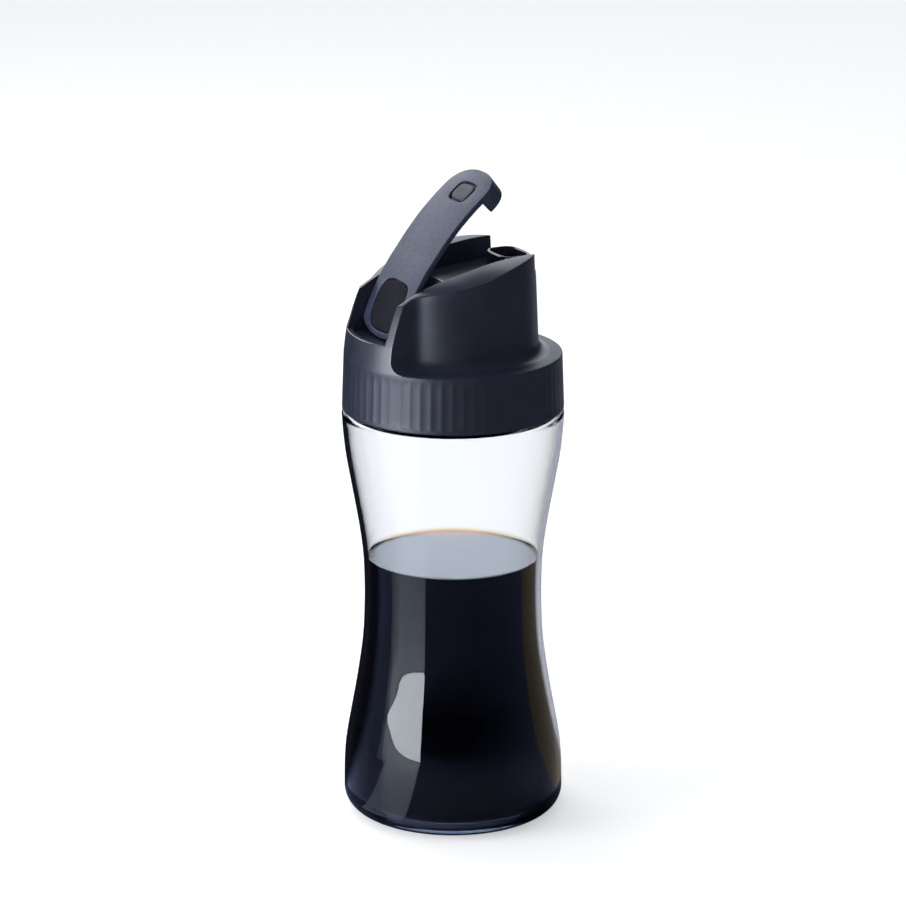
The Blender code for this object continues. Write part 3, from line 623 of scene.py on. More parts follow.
def thread_rise(angle, z, low, high, shift):
    """How far the thread stands out at an angle and height, from 0 to 1."""
    pitch = THREAD_LEAD / THREAD_STARTS
    turn = (z - THREAD_LEAD * angle / (2 * pi)) / pitch + shift
    off = abs((turn + 0.5) % 1.0 - 0.5) / (THREAD_WIDTH_SHARE / 2)
    ends = min((z - low) / THREAD_RUN_OUT, (high - z) / THREAD_RUN_OUT, 1.0)
    return clamped(THREAD_CREST - off * THREAD_SLOPE) * max(ends, 0.0)


def make_bottle(finish):
    shoulder_centre = BODY_RADIUS - SHOULDER_ROUND
    heights = spread(SIDE_LOW, SIDE_HIGH, 90)
    foot_inner = FOOT_RADIUS - FOOT_WIDTH
    lip_z = NECK_TOP_Z - LIP_ROUND
    outer = [(0.0, PUSH_UP_DEPTH), (foot_inner - 2 * PUSH_UP_DEPTH, PUSH_UP_DEPTH)]
    outer += [(foot_inner - PUSH_UP_DEPTH, PUSH_UP_DEPTH * PUSH_UP_CURVE_SHARE)]
    outer += [(foot_inner, 0.0), (FOOT_RADIUS - FOOT_WIDTH / 2, 0.0)]
    outer += arc(FOOT_RADIUS, BASE_ROUND, BASE_ROUND, -90, 0, 18)
    outer += [(softened_side(z), z) for z in heights]
    outer += arc(shoulder_centre, SHOULDER_HEIGHT - SHOULDER_ROUND, SHOULDER_ROUND, 0, 90, 10)
    outer += [(NECK_RADIUS, z) for z in spread(SHOULDER_HEIGHT, lip_z, 44)]
    outer += arc(NECK_RADIUS - LIP_ROUND, lip_z, LIP_ROUND, 0, 90, 3)[1:]
    inner_round, inner_turn = BASE_ROUND - BOTTLE_WALL, SHOULDER_ROUND - BOTTLE_WALL
    turn = SHOULDER_HEIGHT - SHOULDER_WALL
    bore = NECK_RADIUS - NECK_WALL
    inner = arc(FOOT_RADIUS, BASE_TOP_Z + inner_round, inner_round, -90, 0, 14)
    inner += [(softened_side(z) - BOTTLE_WALL, z) for z in heights]
    inner += arc(shoulder_centre, turn - inner_turn, inner_turn, 0, 90, 4)
    inner += arc(bore + NECK_ROOT_ROUND, turn + NECK_ROOT_ROUND, NECK_ROOT_ROUND, -90, -180, 5)
    inner += [(bore, z) for z in spread(turn + NECK_BORE_RISE, lip_z, 6)]
    inner += arc(bore + LIP_ROUND, lip_z, LIP_ROUND, 180, 90, 3)[1:]

    def radius_at(radius, z, angle):
        if abs(radius - NECK_RADIUS) > TINY:
            return radius
        return radius + THREAD_HEIGHT * thread_rise(angle, z, *NECK_THREAD_Z, 0.0)

    profile = outer + list(reversed(inner)) + [(0.0, BASE_TOP_Z)]
    made = solid_object("bottle_fine", lathe(profile, LATHE_SIDES, radius_at))
    dress(made, finish, "bottle", "clear_plastic", "bottle")


def wet_radius(z):
    """The wall that the liquid touches: just inside the plastic, with a hair of air between."""
    return softened_side(z) - BOTTLE_WALL - AIR_GAP


def make_vinegar(finish):
    profile = [(0.0, BASE_TOP_Z + AIR_GAP)]
    inner_round = BASE_ROUND - BOTTLE_WALL - AIR_GAP
    profile += arc(FOOT_RADIUS, BASE_TOP_Z + BASE_ROUND - BOTTLE_WALL, inner_round, -90, 0, 14)
    profile += [(wet_radius(z), z) for z in spread(SIDE_LOW, FILL_HEIGHT, 60)]
    edge = wet_radius(FILL_HEIGHT)
    profile += arc(edge - MENISCUS, FILL_HEIGHT, MENISCUS, MENISCUS_START_DEG, -90, 10)
    profile += [(edge * share, FILL_HEIGHT - MENISCUS) for share in LEVEL_SHARES]
    made = solid_object("vinegar_fine", lathe(profile, LATHE_SIDES))
    dress(made, finish, "bottle", "vinegar", "vinegar")


def make_gasket(finish):
    edge = GASKET_EDGE_ROUND
    low, high = NECK_TOP_Z + FIT_GAP + edge, GASKET_TOP_Z - edge
    near, far = NECK_RADIUS - GASKET_WIDTH + edge, NECK_RADIUS - edge
    profile = []
    for quarter, (x, z) in enumerate(((far, low), (far, high), (near, high), (near, low)), -1):
        profile += arc(x, z, edge, 90 * quarter, 90 * quarter + 90, 3)
    made = solid_object("gasket_fine", lathe(profile, GASKET_SIDES))
    dress(made, finish, "gasket", "seal_silicone", "lip_gasket")


# Cap: skirt


def make_skirt(finish):
    """The grip with its flutes, the ledge on top, and the threaded bore."""
    taper = (CAP_RADIUS - LEDGE_RADIUS) / SKIRT_HEIGHT
    flute_low, flute_high = SKIRT_Z + FLUTE_MARGIN, LEDGE_Z - FLUTE_MARGIN

    def wall(z):
        return CAP_RADIUS - taper * (z - SKIRT_Z)

    def flute(z):
        fall = clamped((flute_high - z) / FLUTE_FADE)
        return clamped((z - flute_low) / FLUTE_START) * fall * (2 - fall)

    heights = [SKIRT_Z + SKIRT_EDGE_ROUND, flute_low, flute_low + FLUTE_START / 2]
    heights += spread(flute_low + FLUTE_START, flute_high - FLUTE_FADE, 6)
    heights += spread(flute_high - FLUTE_FADE, flute_high, 6)[1:]
    outer = arc(CAP_RADIUS - SKIRT_EDGE_ROUND, SKIRT_Z + SKIRT_EDGE_ROUND, SKIRT_EDGE_ROUND, -90, 0, 4)[:-1]
    outer += [(wall(z), z) for z in heights]
    outer += arc(LEDGE_RADIUS - LEDGE_EDGE_ROUND, LEDGE_Z - LEDGE_EDGE_ROUND, LEDGE_EDGE_ROUND, 0, 90, 4)
    outer += [(DECK_HOLE_RADIUS, LEDGE_Z), (DECK_HOLE_RADIUS, DECK_UNDER_Z)]
    outer += [(CAP_BORE_RADIUS - BORE_TOP_CHAMFER, DECK_UNDER_Z)]
    bore = spread(DECK_UNDER_Z - BORE_TOP_CHAMFER, SKIRT_Z + BORE_CHAMFER, 40)
    outer += [(CAP_BORE_RADIUS, z) for z in bore] + [(CAP_BORE_RADIUS + BORE_CHAMFER, SKIRT_Z)]

    def radius_at(radius, z, angle):
        if abs(radius - CAP_BORE_RADIUS) < TINY:
            return radius - THREAD_HEIGHT * thread_rise(angle, z, *CAP_THREAD_Z, 0.5)
        if radius < wall(z) - TINY or z > flute_high or z < flute_low:
            return radius
        share = (angle / (2 * pi) * FLUTE_COUNT) % 1.0
        return radius - FLUTE_DEPTH * flute(z) * sin(pi * share) ** FLUTE_POWER

    made = solid_object("cap_skirt", lathe(outer, FLUTE_COUNT * SIDES_PER_FLUTE, radius_at), 25)
    dress(made, finish, "cap", "cap_plastic", "cap_body")


# Cap: tower


def collar_radius(height):
    lean = smooth_curve(COLLAR_LEAN_SHARES)(height / COLLAR_HEIGHT)
    return LEDGE_RADIUS - COLLAR_LEAN * lean


def crest_z(x):
    return CREST_Z - CREST_FALL * smooth_curve(CREST_SHARES)(x / TOWER_HALF_LENGTH)


def crescent_slope(x):
    return CRESCENT_SLOPE_SHARE * clamped(1 - x / (CRESCENT_LEVEL_SHARE * TOWER_HALF_LENGTH))


def channel_half_width(x):
    return NOTCH_HALF_WIDTH + (CHANNEL_HALF_WIDTH - NOTCH_HALF_WIDTH) * clamped(1 + x / TOWER_HALF_LENGTH)


def channel_floor(x):
    if x <= WELL_FRONT_X:
        return SILL_Z
    if x <= THROAT_X:
        return SILL_Z + (THROAT_Z - SILL_Z) * (x - WELL_FRONT_X) / (THROAT_X - WELL_FRONT_X)
    share = min((x - THROAT_X) / (TOWER_HALF_LENGTH - THROAT_X), 1.0)
    return THROAT_Z + (SHELF_Z - THROAT_Z) * share**SHELF_CURVE_SHARE


class Plan:
    """The tower's outline at one height. Each method gives x and y on a stretch of it."""

    def __init__(self, z):
        height = z - LEDGE_Z
        rise = min(max(height, 0.0), TOWER_FILLET)
        flare = TOWER_FILLET - sqrt(TOWER_FILLET**2 - (TOWER_FILLET - rise) ** 2)
        narrow = TOWER_DRAFT_SHARE * height - flare
        self.length = TOWER_HALF_LENGTH - narrow
        self.width = TOWER_HALF_WIDTH - narrow
        self.wing = WING_HALF_WIDTH - WING_DRAFT_SHARE * height + flare
        self.collar = collar_radius(height)
        self.back_x = -sqrt(self.collar**2 - self.wing**2)

    def nose(self, across):
        """The front, by share of the channel's half width."""
        y = across * CHANNEL_HALF_WIDTH
        return TOWER_X + self.length * sqrt(1 - (y / self.width) ** 2), y

    def oval(self, x):
        return self.width * sqrt(max(1 - ((x - TOWER_X) / self.length) ** 2, 0.0))

    def front_side(self, share):
        x = TOWER_X + (self.nose(1.0)[0] - TOWER_X) * share
        return x, self.oval(x)

    def rear_side(self, share):
        """From the oval's widest place back along the wing."""
        x = TOWER_X + (self.back_x - TOWER_X) * share
        part = min(asin(share) * 2 / pi / WING_RISE_SHARE, 1.0)
        blend = self.wing * part * (2 - part)
        y = (self.oval(x) ** WING_BLEND_POWER + blend**WING_BLEND_POWER) ** (1 / WING_BLEND_POWER)
        return x, self.wing if share >= 1.0 else y

    def on_collar(self, y):
        return -sqrt(self.collar**2 - y**2), y

    def corner(self, share):
        return self.on_collar(self.wing + (NOTCH_HALF_WIDTH - self.wing) * share)

    def rear(self, across):
        return self.on_collar(across * NOTCH_HALF_WIDTH)


def column_point(column, z, mirror=1):
    """The point at a height on a column, which is a method of Plan and its argument."""
    stretch, share = column
    x, y = stretch(Plan(z), share)
    return (x, mirror * y, z)


def settled(column, level, z):
    """The height on a column where level(x, y) gives that same height."""
    for _ in range(SETTLING_ROUNDS):
        x, y, _ = column_point(column, z)
        z = level(x, abs(y))
    return z


def side_columns():
    """Columns from the nose back to the notch, and the x where each meets the channel's floor."""
    back = Plan(SILL_Z).back_x
    nose_x = Plan(SHELF_Z).nose(1.0)[0]
    front = spread(nose_x, TOWER_X, 15)
    rear = spread(TOWER_X, THROAT_X, 2)[1:] + spread(THROAT_X, WELL_FRONT_X, 2)[1:]
    rear += spread(WELL_FRONT_X, back, 20)[1:]
    rear_shares = [(x - TOWER_X) / (back - TOWER_X) for x in rear[:-1]] + [1.0]
    corner_shares = (1 / 3, 2 / 3, 1.0)
    columns = [(Plan.front_side, (x - TOWER_X) / (nose_x - TOWER_X)) for x in front]
    columns += [(Plan.rear_side, share) for share in rear_shares]
    columns += [(Plan.corner, share) for share in corner_shares]
    return columns, front + rear + [Plan(SILL_Z).corner(share)[0] for share in corner_shares]


def well_floor():
    """Just below the lowest that the lever's rear end reaches when the lever is open."""
    lowest = CREST_Z
    for station in spread(LEVER_REAR_X, LEVER_REAR_X + LEVER_REAR_ROUND, 12):
        for down in (0.0, LEVER_THICKNESS):
            x, _, z = lever_point(station, 0.0, down)
            turned = Matrix.Rotation(-OPEN_ANGLE, 3, "Y") @ Vector((x - HINGE_X, 0.0, z - HINGE_Z))
            lowest = min(lowest, HINGE_Z + turned.z)
    return lowest - STOP_GAP


def tower_skin():
    built = bmesh.new()
    across = spread(-1.0, 1.0, 14)
    columns, floor_xs = side_columns()
    nose = [(Plan.nose, a) for a in across]
    nose_low = [settled(column, lambda x, y: channel_floor(x), SHELF_Z) for column in nose]
    share_back = [(floor_xs[0] - x) / (floor_xs[0] - floor_xs[-1]) for x in floor_xs]
    side_low = [nose_low[-1] + (SILL_Z - nose_low[-1]) * share for share in share_back]
    side_low[-1] = SILL_Z

    def crescent(x, y):
        return crest_z(x) - crescent_slope(x) * max(y - channel_half_width(x), 0.0)

    side_top = [settled(column, crescent, crest_z(x)) for column, x in zip(columns, floor_xs)]

    # The outside up to the channel's floor, all round
    sides = list(zip(columns, side_low))[1:-1]
    outside = [(column, low, 1) for column, low in list(zip(nose, nose_low)) + sides]
    outside += [((Plan.rear, a), SILL_Z, 1) for a in reversed(across)]
    outside += [(column, low, -1) for column, low in reversed(sides)]
    toe = [TOWER_FILLET * (1 - cos_deg(a)) for a in FILLET_ANGLES_DEG]
    rows = [[column_point(column, LEDGE_Z + rise, mirror) for column, _, mirror in outside] for rise in toe]
    for share in spread(0.0, 1.0, 6)[1:]:
        rows.append([
            column_point(column, LEDGE_Z + toe[-1] + (low - LEDGE_Z - toe[-1]) * share, mirror)
            for column, low, mirror in outside
        ])
    under = [(x, y, LEDGE_Z - DECK_THICKNESS / 2) for x, y, _ in rows[0]]
    grid(built, [under] + rows, closed=True)
    cap_off(built, under)

    # Each side above it: the wall, the crescent on top, and the channel's wall down inside
    for mirror in (1, -1):
        wall = [
            [
                column_point(column, low + (high - low) * share, mirror)
                for column, low, high in zip(columns, side_low, side_top)
            ]
            for share in spread(0.0, 1.0, 4)
        ]
        rim = [(x, mirror * channel_half_width(x), crest_z(x)) for x, _, _ in wall[-1]]
        rim[0], rim[-1] = wall[-1][0], wall[-1][-1]
        inner = []
        for outer_row, share in zip(reversed(wall), spread(0.0, 1.0, 4)):
            row = []
            for (x, _, z), floor_x in zip(rim, floor_xs):
                place_x = x + (floor_x - x) * share
                height = z + (channel_floor(floor_x) - z) * share
                row.append((place_x, mirror * channel_half_width(place_x), height))
            row[0], row[-1] = outer_row[0], outer_row[-1]
            inner.append(row)
        for patch in (wall, [wall[-1], rim], inner):
            grid(built, patch)

    # The channel's floor from the nose to the well, then the well and the sill behind it
    inner_radius = collar_radius(SILL_HEIGHT) - SILL_WALL
    corner_reach = sqrt(inner_radius**2 - NOTCH_HALF_WIDTH**2)
    front_well, rear_well = nearest(floor_xs, WELL_FRONT_X), nearest(floor_xs, -corner_reach)
    nose_x, front_x, rear_x, last_x = (floor_xs[k] for k in (0, front_well, rear_well, -1))
    heights = spread(well_floor(), SILL_Z, 3)
    shelf, pocket, sill = [], [], []
    for a, low in zip(across, nose_low):
        bulge = Plan(low).nose(a)[0] - nose_x
        line = []
        for k, x in enumerate(floor_xs[: front_well + 1]):
            moved = x + bulge * clamped((x - THROAT_X) / (nose_x - THROAT_X))
            line.append((moved, a * channel_half_width(x), channel_floor(moved) if k else low))
        shelf.append(line)
        y_rear = a * NOTCH_HALF_WIDTH
        inner_x = -sqrt(inner_radius**2 - y_rear**2)
        outer_x = -sqrt(collar_radius(SILL_HEIGHT) ** 2 - y_rear**2)
        line = []
        for x in floor_xs[front_well : rear_well + 1]:
            share = (front_x - x) / (front_x - rear_x)
            moved = x + (inner_x + corner_reach) * share
            moved += (-corner_reach - rear_x) * share * (abs(a) < 1)
            line.append((moved, a * channel_half_width(x), heights[0]))
        pocket.append(line)
        start = line[-1][0]
        line = []
        for x in floor_xs[rear_well:]:
            share = (rear_x - x) / (rear_x - last_x)
            line.append((start + (outer_x - start) * share, a * channel_half_width(x), SILL_Z))
        sill.append(line)
    ends = [[[(*line[end][:2], z) for z in heights] for line in pocket] for end in (-1, 0)]
    edges = [[[(x, y, z) for x, y, _ in line] for z in heights] for line in (pocket[0], pocket[-1])]
    for patch in (shelf, pocket, sill, *ends, *edges):
        grid(built, patch)
    return built


def weigh_edges(made):
    """Marks the tower's sharp edges above the fillet for the bevel, all with one weight."""
    built = bmesh.new()
    built.from_mesh(made.data)
    weights = built.edges.layers.float.new("bevel_weight_edge")
    for edge in built.edges:
        above = min(vert.co.z for vert in edge.verts) >= EDGE_LOWEST_Z
        if len(edge.link_faces) == 2 and above and edge.calc_face_angle(0.0) >= radians(EDGE_SHARP_DEG):
            edge[weights] = EDGE_WEIGHT
    built.to_mesh(made.data)
    built.free()


def insert_room():
    """The hollow that the pour insert's funnel and spout stand in."""
    rings = [rounded_ring(FUNNEL_PLAN, z, INSERT_SPACE) for z in (LEDGE_Z - OVERRUN, FUNNEL_Z)]
    return loft(rings + [rounded_ring(MOUTH_PLAN, z, FIT_GAP) for z in (SPOUT_THROAT_Z, MOUTH_Z + OVERRUN)])


def hinge_pin(radius, start_y, end_y):
    """A cylinder about the hinge."""
    turns = full_turn(TRUNNION_SIDES)
    circle = [(HINGE_X + radius * cos(a), HINGE_Z + radius * sin(a)) for a in turns]
    return loft([[(x, y, z) for x, z in circle] for y in (start_y, end_y)])


def make_tower(finish, edge):
    made = solid_object("cap_tower", tower_skin(), 30)
    weigh_edges(made)
    made.data.materials.append(finish)
    made.data.materials.append(edge)
    bevel = made.modifiers.new("round", "BEVEL")
    bevel.limit_method = "WEIGHT"
    bevel.width = EDGE_ROUND
    bevel.segments = 3
    bevel.use_clamp_overlap = True
    # The bevel's faces take the edge material, whose lighter colour is a painted highlight
    bevel.material = 1
    bake_modifiers(made, 30)
    cut(made, insert_room())
    for side in (1, -1):
        ends = side * (NOTCH_HALF_WIDTH - SOCKET_OVERLAP), side * (TRUNNION_END_Y + FIT_GAP)
        cut(made, hinge_pin(TRUNNION_RADIUS + FIT_GAP, *ends))
    dress(made, finish, "cap", "cap_plastic", "cap_body")


def make_insert(finish):
    """A plate under the deck that rises as a funnel and narrows to the spout."""
    plate_low, plate_top = GASKET_TOP_Z - PLATE_THICKNESS, GASKET_TOP_Z
    plate_radius = NECK_RADIUS - GASKET_WIDTH - FIT_GAP
    plate = (0.0, plate_radius, plate_radius, OVAL_POWER)
    half = SPOUT_WALL / 2
    lip = (MOUTH_X, MOUTH_HALF_LENGTH - half, MOUTH_HALF_WIDTH - half, MOUTH_POWER)

    def narrowed(share, growth):
        """A ring between the funnel's oval and the spout's, with a smooth shoulder."""
        ease = share * share * (3 - 2 * share)
        plan = [a + (b - a) * ease for a, b in zip(FUNNEL_PLAN, MOUTH_PLAN)]
        return rounded_ring(plan, FUNNEL_Z + growth + (SPOUT_THROAT_Z - FUNNEL_Z) * share, growth)

    rings = [rounded_ring(plate, plate_low), rounded_ring(plate, plate_top)]
    rings += [rounded_ring(FUNNEL_PLAN, plate_top)]
    rings += [narrowed(share, 0.0) for share in spread(0.0, 1.0, 8)]
    for turn in spread(0, 180, 6):
        rings.append(rounded_ring(lip, MOUTH_Z - half + half * sin_deg(turn), half * cos_deg(turn)))
    rings += [narrowed(share, -SPOUT_WALL) for share in spread(1.0, 0.0, 8)]
    rings.append(rounded_ring(FUNNEL_PLAN, plate_low, -SPOUT_WALL))
    made = solid_object("insert_fine", loft(rings, closed=True))
    dress(made, finish, "cap", "cap_plastic", "pour_insert")


# Lever, plug and pad, drawn closed


def lever_top(x):
    share = (LEVER_REAR_X + THUMB_DIP_LENGTH - x) / THUMB_DIP_LENGTH
    return crest_z(x) - THUMB_DIP * smooth_curve(THUMB_DIP_SHARES)(share)


def lever_point(x, y, depth):
    """A point at some depth square below the closed lever's top face."""
    step = LEVER_THICKNESS
    slope = (lever_top(x + step) - lever_top(x - step)) / (2 * step)
    length = hypot(1.0, slope)
    return (x + depth * slope / length, y, lever_top(x) - depth / length)


def lever_half_width(x, inset=0.0):
    share, power = (LEVER_REAR_X + LEVER_REAR_ROUND - x) / LEVER_REAR_ROUND, LEVER_REAR_POWER
    if x > MOUTH_X:
        share, power = (x - MOUTH_X) / (LEVER_FRONT_X - MOUTH_X - inset), LEVER_FRONT_POWER
    return (LEVER_HALF_WIDTH - inset) * (1 - clamped(share) ** power) ** (1 / power)


def lever_section(x, depth):
    """A rectangle across the lever with rounded corners."""
    side = lever_half_width(x)
    edge = min(LEVER_EDGE_ROUND, side / 2)
    quarter = [(edge * cos_deg(a), edge * sin_deg(a)) for a in (0, 30, 60, 90)]
    left, right, low = edge - side, side - edge, depth - edge
    outline = [(left - c, low + s) for c, s in quarter] + [(right + s, low + c) for c, s in quarter]
    outline += [(right + c, edge - s) for c, s in quarter] + [(left - s, edge - c) for c, s in quarter]
    return [lever_point(x, y, down) for y, down in outline]


def lever_skin():
    rear = [LEVER_REAR_X + LEVER_REAR_ROUND * (1 - cos_deg(a)) for a in spread(5, 90, 16)]
    middle = spread(rear[-1], MOUTH_X - HOOD_STEP, 48)[1:]
    front = [MOUTH_X + (LEVER_FRONT_X - MOUTH_X) * sin_deg(a) for a in spread(0, 84, 24)]
    sections = [lever_section(x, LEVER_THICKNESS) for x in rear + middle]
    return loft(sections + [lever_section(x, HOOD_DEPTH) for x in front])


def hood_hollow():
    reach = LEVER_FRONT_X - MOUTH_X - HOOD_WALL
    low = HOOD_DEPTH + OVERRUN
    rings = []
    for x in [MOUTH_X - OVERRUN] + [MOUTH_X + reach * sin_deg(a) for a in spread(0, 82, 14)]:
        side = lever_half_width(x, HOOD_WALL)
        corners = ((-side, LEVER_THICKNESS), (-side, low), (side, low), (side, LEVER_THICKNESS))
        rings.append([lever_point(x, y, depth) for y, depth in corners])
    return loft(rings)


def ear_solid(side):
    outline = arc(HINGE_X, HINGE_Z, EAR_RADIUS, 180, 360, 20)
    for x in spread(HINGE_X + EAR_ROOT_LENGTH / 2, HINGE_X - EAR_ROOT_LENGTH / 2, 6):
        point = lever_point(x, 0.0, LEVER_THICKNESS / 2)
        outline.append((point[0], point[2]))
    ends = (LEVER_HALF_WIDTH - EAR_THICKNESS, LEVER_HALF_WIDTH - EAR_SET_IN)
    return loft([[(x, side * y, z) for x, z in outline] for y in ends])


def lever_rings(plan, levels, sides=72):
    """Rings of a plan on the closed lever, for levels of (growth, depth)."""
    rings = [rounded_ring(plan, depth, growth, sides) for growth, depth in levels]
    return [[lever_point(*point) for point in ring] for ring in rings]


def opened_out(built):
    turn = Matrix.Translation((HINGE_X, 0, HINGE_Z)) @ Matrix.Rotation(-OPEN_ANGLE, 4, "Y")
    bmesh.ops.transform(built, matrix=turn @ Matrix.Translation((-HINGE_X, 0, -HINGE_Z)), verts=built.verts)
    return built


def make_lever(finish):
    """The arm with its ears and trunnions, cut out for the hood, the plug's head and the pad."""
    made = solid_object("lever_fine", opened_out(lever_skin()), 30)
    for side in (1, -1):
        cut(made, opened_out(ear_solid(side)), "UNION")
        ends = side * (LEVER_HALF_WIDTH - EAR_THICKNESS / 2), side * TRUNNION_END_Y
        cut(made, opened_out(hinge_pin(TRUNNION_RADIUS, *ends)), "UNION")
    wide = 2 * RECESS_BEVEL
    recess = [(PLUG_GROOVE + wide, -OVERRUN), (PLUG_GROOVE + wide, -RECESS_BEVEL)]
    recess += [(PLUG_GROOVE, RECESS_BEVEL), (PLUG_GROOVE, PLUG_HEAD_DEPTH + FIT_GAP)]
    hole = [(FIT_GAP - PLUG_SHOULDER, depth) for depth in (-OVERRUN, LEVER_THICKNESS + OVERRUN)]
    tray = [(wide, -OVERRUN), (wide, -RECESS_BEVEL), (0.0, RECESS_BEVEL)]
    tray += [(-inset, PAD_DEPTH + FIT_GAP) for inset in spread(0.0, PAD_HALF_LENGTH - FIT_GAP, 6)]
    cuts = [lever_rings(PLUG_PLAN, recess, PLUG_SIDES), lever_rings(PLUG_PLAN, hole, PLUG_SIDES)]
    for hollow in [hood_hollow()] + [loft(rings) for rings in cuts + [lever_rings(PAD_PLAN, tray)]]:
        cut(made, opened_out(hollow))
    dress(made, finish, "lever", "lever_plastic", "lever_arm")


def make_plug(finish):
    rings = lever_rings(PLUG_PLAN, PLUG_HEAD, PLUG_SIDES) + lever_rings(NOSE_PLAN, PLUG_NOSE, PLUG_SIDES)
    made = solid_object("plug_fine", opened_out(loft(rings)), 40)
    dress(made, finish, "lever", "dark_silicone", "spout_plug")


def make_pad(finish):
    levels = [(-inset, PAD_DEPTH) for inset in spread(PAD_HALF_LENGTH - FIT_GAP, FIT_GAP, 6)]
    levels += [(growth, PAD_SINK + depth) for growth, depth in PAD_TOP]
    made = solid_object("pad_fine", opened_out(loft(lever_rings(PAD_PLAN, levels))), 40)
    dress(made, finish, "lever", "dark_silicone", "thumb_pad")


# Stage


def make_camera():
    data = bpy.data.cameras.new("camera")
    data.sensor_width = CAMERA_SENSOR
    data.lens = PHOTO_FOCAL / PHOTO_WIDTH * CAMERA_SENSOR
    made = new_object("camera", data)
    made.location = (
        CAMERA_DISTANCE * sin(CAMERA_TURN), -CAMERA_DISTANCE * cos(CAMERA_TURN), CAMERA_HEIGHT
    )
    made.rotation_euler = (pi / 2 - CAMERA_PITCH, 0, CAMERA_TURN)
    bpy.context.scene.camera = made


def towards(azimuth_deg, distance, height):
    """A point round the object. Azimuth 0 is straight away from the camera, and it grows to the
    right of the picture."""
    turn = pi / 2 + CAMERA_TURN - radians(azimuth_deg)
    return Vector((distance * cos(turn), distance * sin(turn), height))


def seen_only(made, *kinds):
    made.visible_camera = False
    for kind in ("diffuse", "glossy", "transmission"):
        setattr(made, "visible_" + kind, kind in kinds)


def add_softbox(name, place, size, radiance, kinds=("diffuse",), target=(0, 0, 0.12)):
    """A rectangular lamp that sends out the same radiance as a surface of that brightness."""
    data = bpy.data.lights.new(name, "AREA")
    data.shape = "RECTANGLE"
    data.size, data.size_y = size
    data.energy = radiance * pi * size[0] * size[1]
    made = new_object(name, data)
    made.location = place
    made.rotation_euler = (Vector(target) - Vector(place)).to_track_quat("-Z", "Y").to_euler()
    seen_only(made, *kinds)


def make_card(name, points, colour, strength):
    """A glowing card outside the picture that only shows in reflections."""
    built = bmesh.new()
    cap_off(built, points)
    made = solid_object(name, built)
    glow = Finish(name, (0, 0, 0), 0.5, Emission_Color=(*colour, 1), Emission_Strength=strength)
    made.data.materials.append(glow.material)
    seen_only(made, "glossy")
    made.visible_shadow = False


def standing_card(name, azimuths, distance, low, high, colour, strength):
    first, last = (towards(a, distance, 0) for a in azimuths)
    corners = ((first, low), (last, low), (last, high), (first, high))
    make_card(name, [(point.x, point.y, z) for point, z in corners], colour, strength)


def lying_card(name, azimuths, near, far, colour, strength):
    points = [towards(azimuth, near, CARD_LIFT) for azimuth in azimuths]
    points += [towards(azimuth, far, CARD_LIFT) for azimuth in spread(azimuths[1], azimuths[0], 8)]
    make_card(name, points, colour, strength)


class Shades(Graph):
    """Nodes whose light or colour depends on what the ray has met."""

    def __init__(self, tree):
        super().__init__(tree)
        self.path = self.add("LightPath").node.outputs

    def maths(self, operation, first, second):
        return self.add("Math", {0: first, 1: second}, operation=operation)

    def mirrored(self):
        """1 for a ray that some gloss has sent on, 0 for one straight from the camera or through
        clear plastic."""
        return self.maths("GREATER_THAN", self.path["Glossy Depth"], 0.5)

    def straight(self):
        """1 for a ray from the camera or through clear plastic that no gloss has sent on."""
        through = self.maths("MAXIMUM", self.path["Is Camera Ray"], self.path["Is Transmission Ray"])
        return self.maths("MULTIPLY", through, self.maths("SUBTRACT", 1.0, self.mirrored()))

    def window(self, source, direction, edge_deg, soft_deg):
        """1 within an angle of a direction, falling to 0 just outside it."""
        turn = self.add("VectorMath", {0: source}, operation="NORMALIZE")
        dot = self.add("VectorMath", {0: turn, 1: direction.normalized()}, "Value", operation="DOT_PRODUCT")
        limits = {"From Min": cos_deg(edge_deg + soft_deg), "From Max": cos_deg(edge_deg)}
        return self.add("MapRange", {**limits, "Value": dot}, "Result")

    def mix(self, share, first, second):
        return self.add("MixShader", {0: share, 1: first, 2: second})

    def over(self, share, below, colour):
        return self.add("Mix", {0: share, 6: below, 7: (*colour, 1.0)}, 2, data_type="RGBA")


def make_world():
    world = bpy.data.worlds.new("studio")
    bpy.context.scene.world = world
    world.use_nodes = True
    tree = world.node_tree
    tree.nodes.clear()
    shades = Shades(tree)

    def light(colour, strength):
        return shades.add("Background", {"Color": (*colour, 1.0), "Strength": strength})

    backdrop = shades.window(shades.add("TexCoord", output="Generated"), towards(-4, 1.0, 0.32), 24, 9)
    dark = light((0.5, 0.6, 1.0), ROOM_GLOW)
    seen_through = shades.mix(backdrop, dark, light((0.80, 0.88, 1.0), BACKDROP_GLOW))
    seen = shades.mix(backdrop, dark, light((0.86, 0.92, 1.0), RIM_GLOW))
    room = shades.mix(shades.path["Is Transmission Ray"], seen, seen_through)
    shaded = shades.mix(shades.mirrored(), light((0.96, 0.98, 1.0), FILL_GLOW), room)
    sky = shades.mix(shades.straight(), shaded, light((1, 1, 1), 1.0))
    tree.links.new(sky, tree.nodes.new("ShaderNodeOutputWorld").inputs[0])


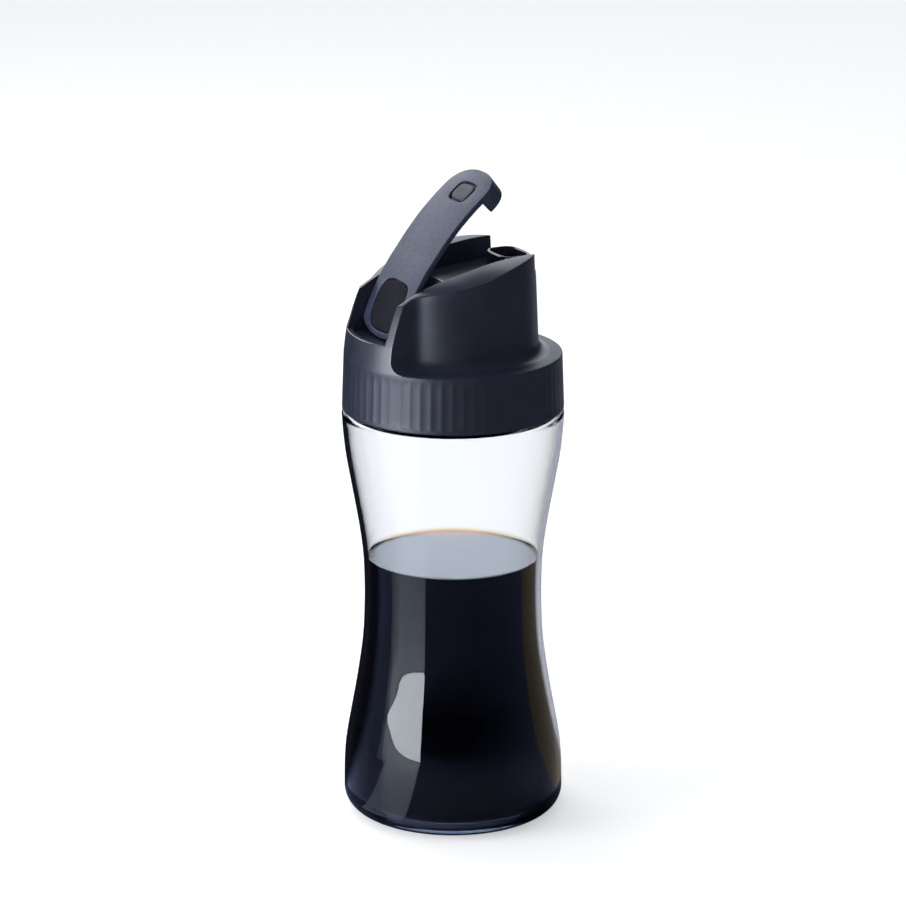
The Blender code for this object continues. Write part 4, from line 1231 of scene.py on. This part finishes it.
def make_floor():
    size = FLOOR_SIZE
    corners = ((-size, -size), (size, -size), (size, size), (-size, size))
    made = solid_object("floor", loft([[(x, y, z) for x, y in corners] for z in (FLOOR_UNDER_Z, FLOOR_Z)]))
    pale = Finish("floor", (0.80, 0.81, 0.83), 0.6, Specular_IOR_Level=0.1, Emission_Color=(1, 1, 1, 1))
    shades = Shades(pale.tree)
    pale.paint(Emission_Strength=shades.maths("MULTIPLY", shades.straight(), FLOOR_GLOW))

    # In gloss the floor is pale round the foot and dark further out, as under black cards
    reach = shades.add("VectorMath", {0: pale.place}, "Value", operation="LENGTH")
    stops = ((0.0, (0.16, 0.185, 0.29)), (0.35, (0.15, 0.17, 0.28)), (1.0, (0.10, 0.12, 0.22)))
    colour = shades.colours(shades.maths("DIVIDE", reach, DARK_REACH), *stops)
    side = shades.window(pale.place, towards(24, 1.0, 0), 19, 4)
    rear = shades.window(pale.place, towards(-32, 1.0, 0), 34, 12)
    colour = shades.over(side, colour, (0.80, 0.82, 0.92))
    dark = shades.add("BsdfDiffuse", {"Color": shades.over(rear, colour, (0.012, 0.013, 0.02))})
    surface = shades.mix(shades.mirrored(), pale.shader.outputs[0], dark)
    pale.tree.links.new(surface, pale.output.inputs[0])
    made.data.materials.append(pale.material)


def light_stage():
    """Softboxes by place, size, radiance, the rays that see them and target. Cards by azimuths,
    distances, heights if they stand, colour and strength."""
    make_world()
    make_floor()
    add_softbox("key", towards(-105, 1.15, 0.55), (0.6, 0.8), 4.0)
    add_softbox("top", towards(-60, 0.3, 1.5), (0.9, 0.9), 2.1)
    add_softbox("rear", towards(-39, 1.2, 0.95), (0.95, 0.7), 2.3, ("diffuse", "glossy"), (0, 0, 0.23))
    add_softbox("rear_left", towards(-62, 1.1, 0.68), (0.40, 0.6), 3.4, ("glossy",), (0, 0, 0.22))
    standing_card("left_card", (-146, -102), 0.66, 0.002, 0.32, (0.88, 0.93, 1.0), 12.0)
    lying_card("left_floor_card", (-146, -110), 0.05, 0.65, (0.62, 0.72, 1.0), 0.82)
    lying_card("left_floor_shade", (-110, -98), 0.24, 0.65, (0.66, 0.75, 1.0), 0.5)
    lying_card("right_floor_card", (46, 84), 0.06, 0.5, (0.58, 0.41, 0.0), 0.38)


def main():
    bpy.context.scene.view_settings.view_transform = "Standard"
    make_camera()
    make_bottle(clear_finish())
    make_vinegar(vinegar_finish())
    make_gasket(seal_finish())
    make_skirt(cap_finish("grip_plastic", 0.40, 0.46, 0.36))
    make_tower(cap_finish("cap_plastic", 0.35, 0.41, 0.56), painted_highlight_edge_finish())
    make_insert(insert_finish())
    make_lever(lever_finish())
    make_plug(rubber_finish("plug_silicone", (0.019, 0.022, 0.034), (0.036, 0.041, 0.060), 0.55, 0.45))
    # The pad is the plug's silicone drawn about three times darker as painted shade of the notch; its
    # rougher, duller finish is real
    make_pad(rubber_finish("pad_silicone_painted_shade", (0.006, 0.0065, 0.011), (0.012, 0.0125, 0.019), 0.75, 0.10))
    light_stage()


main()
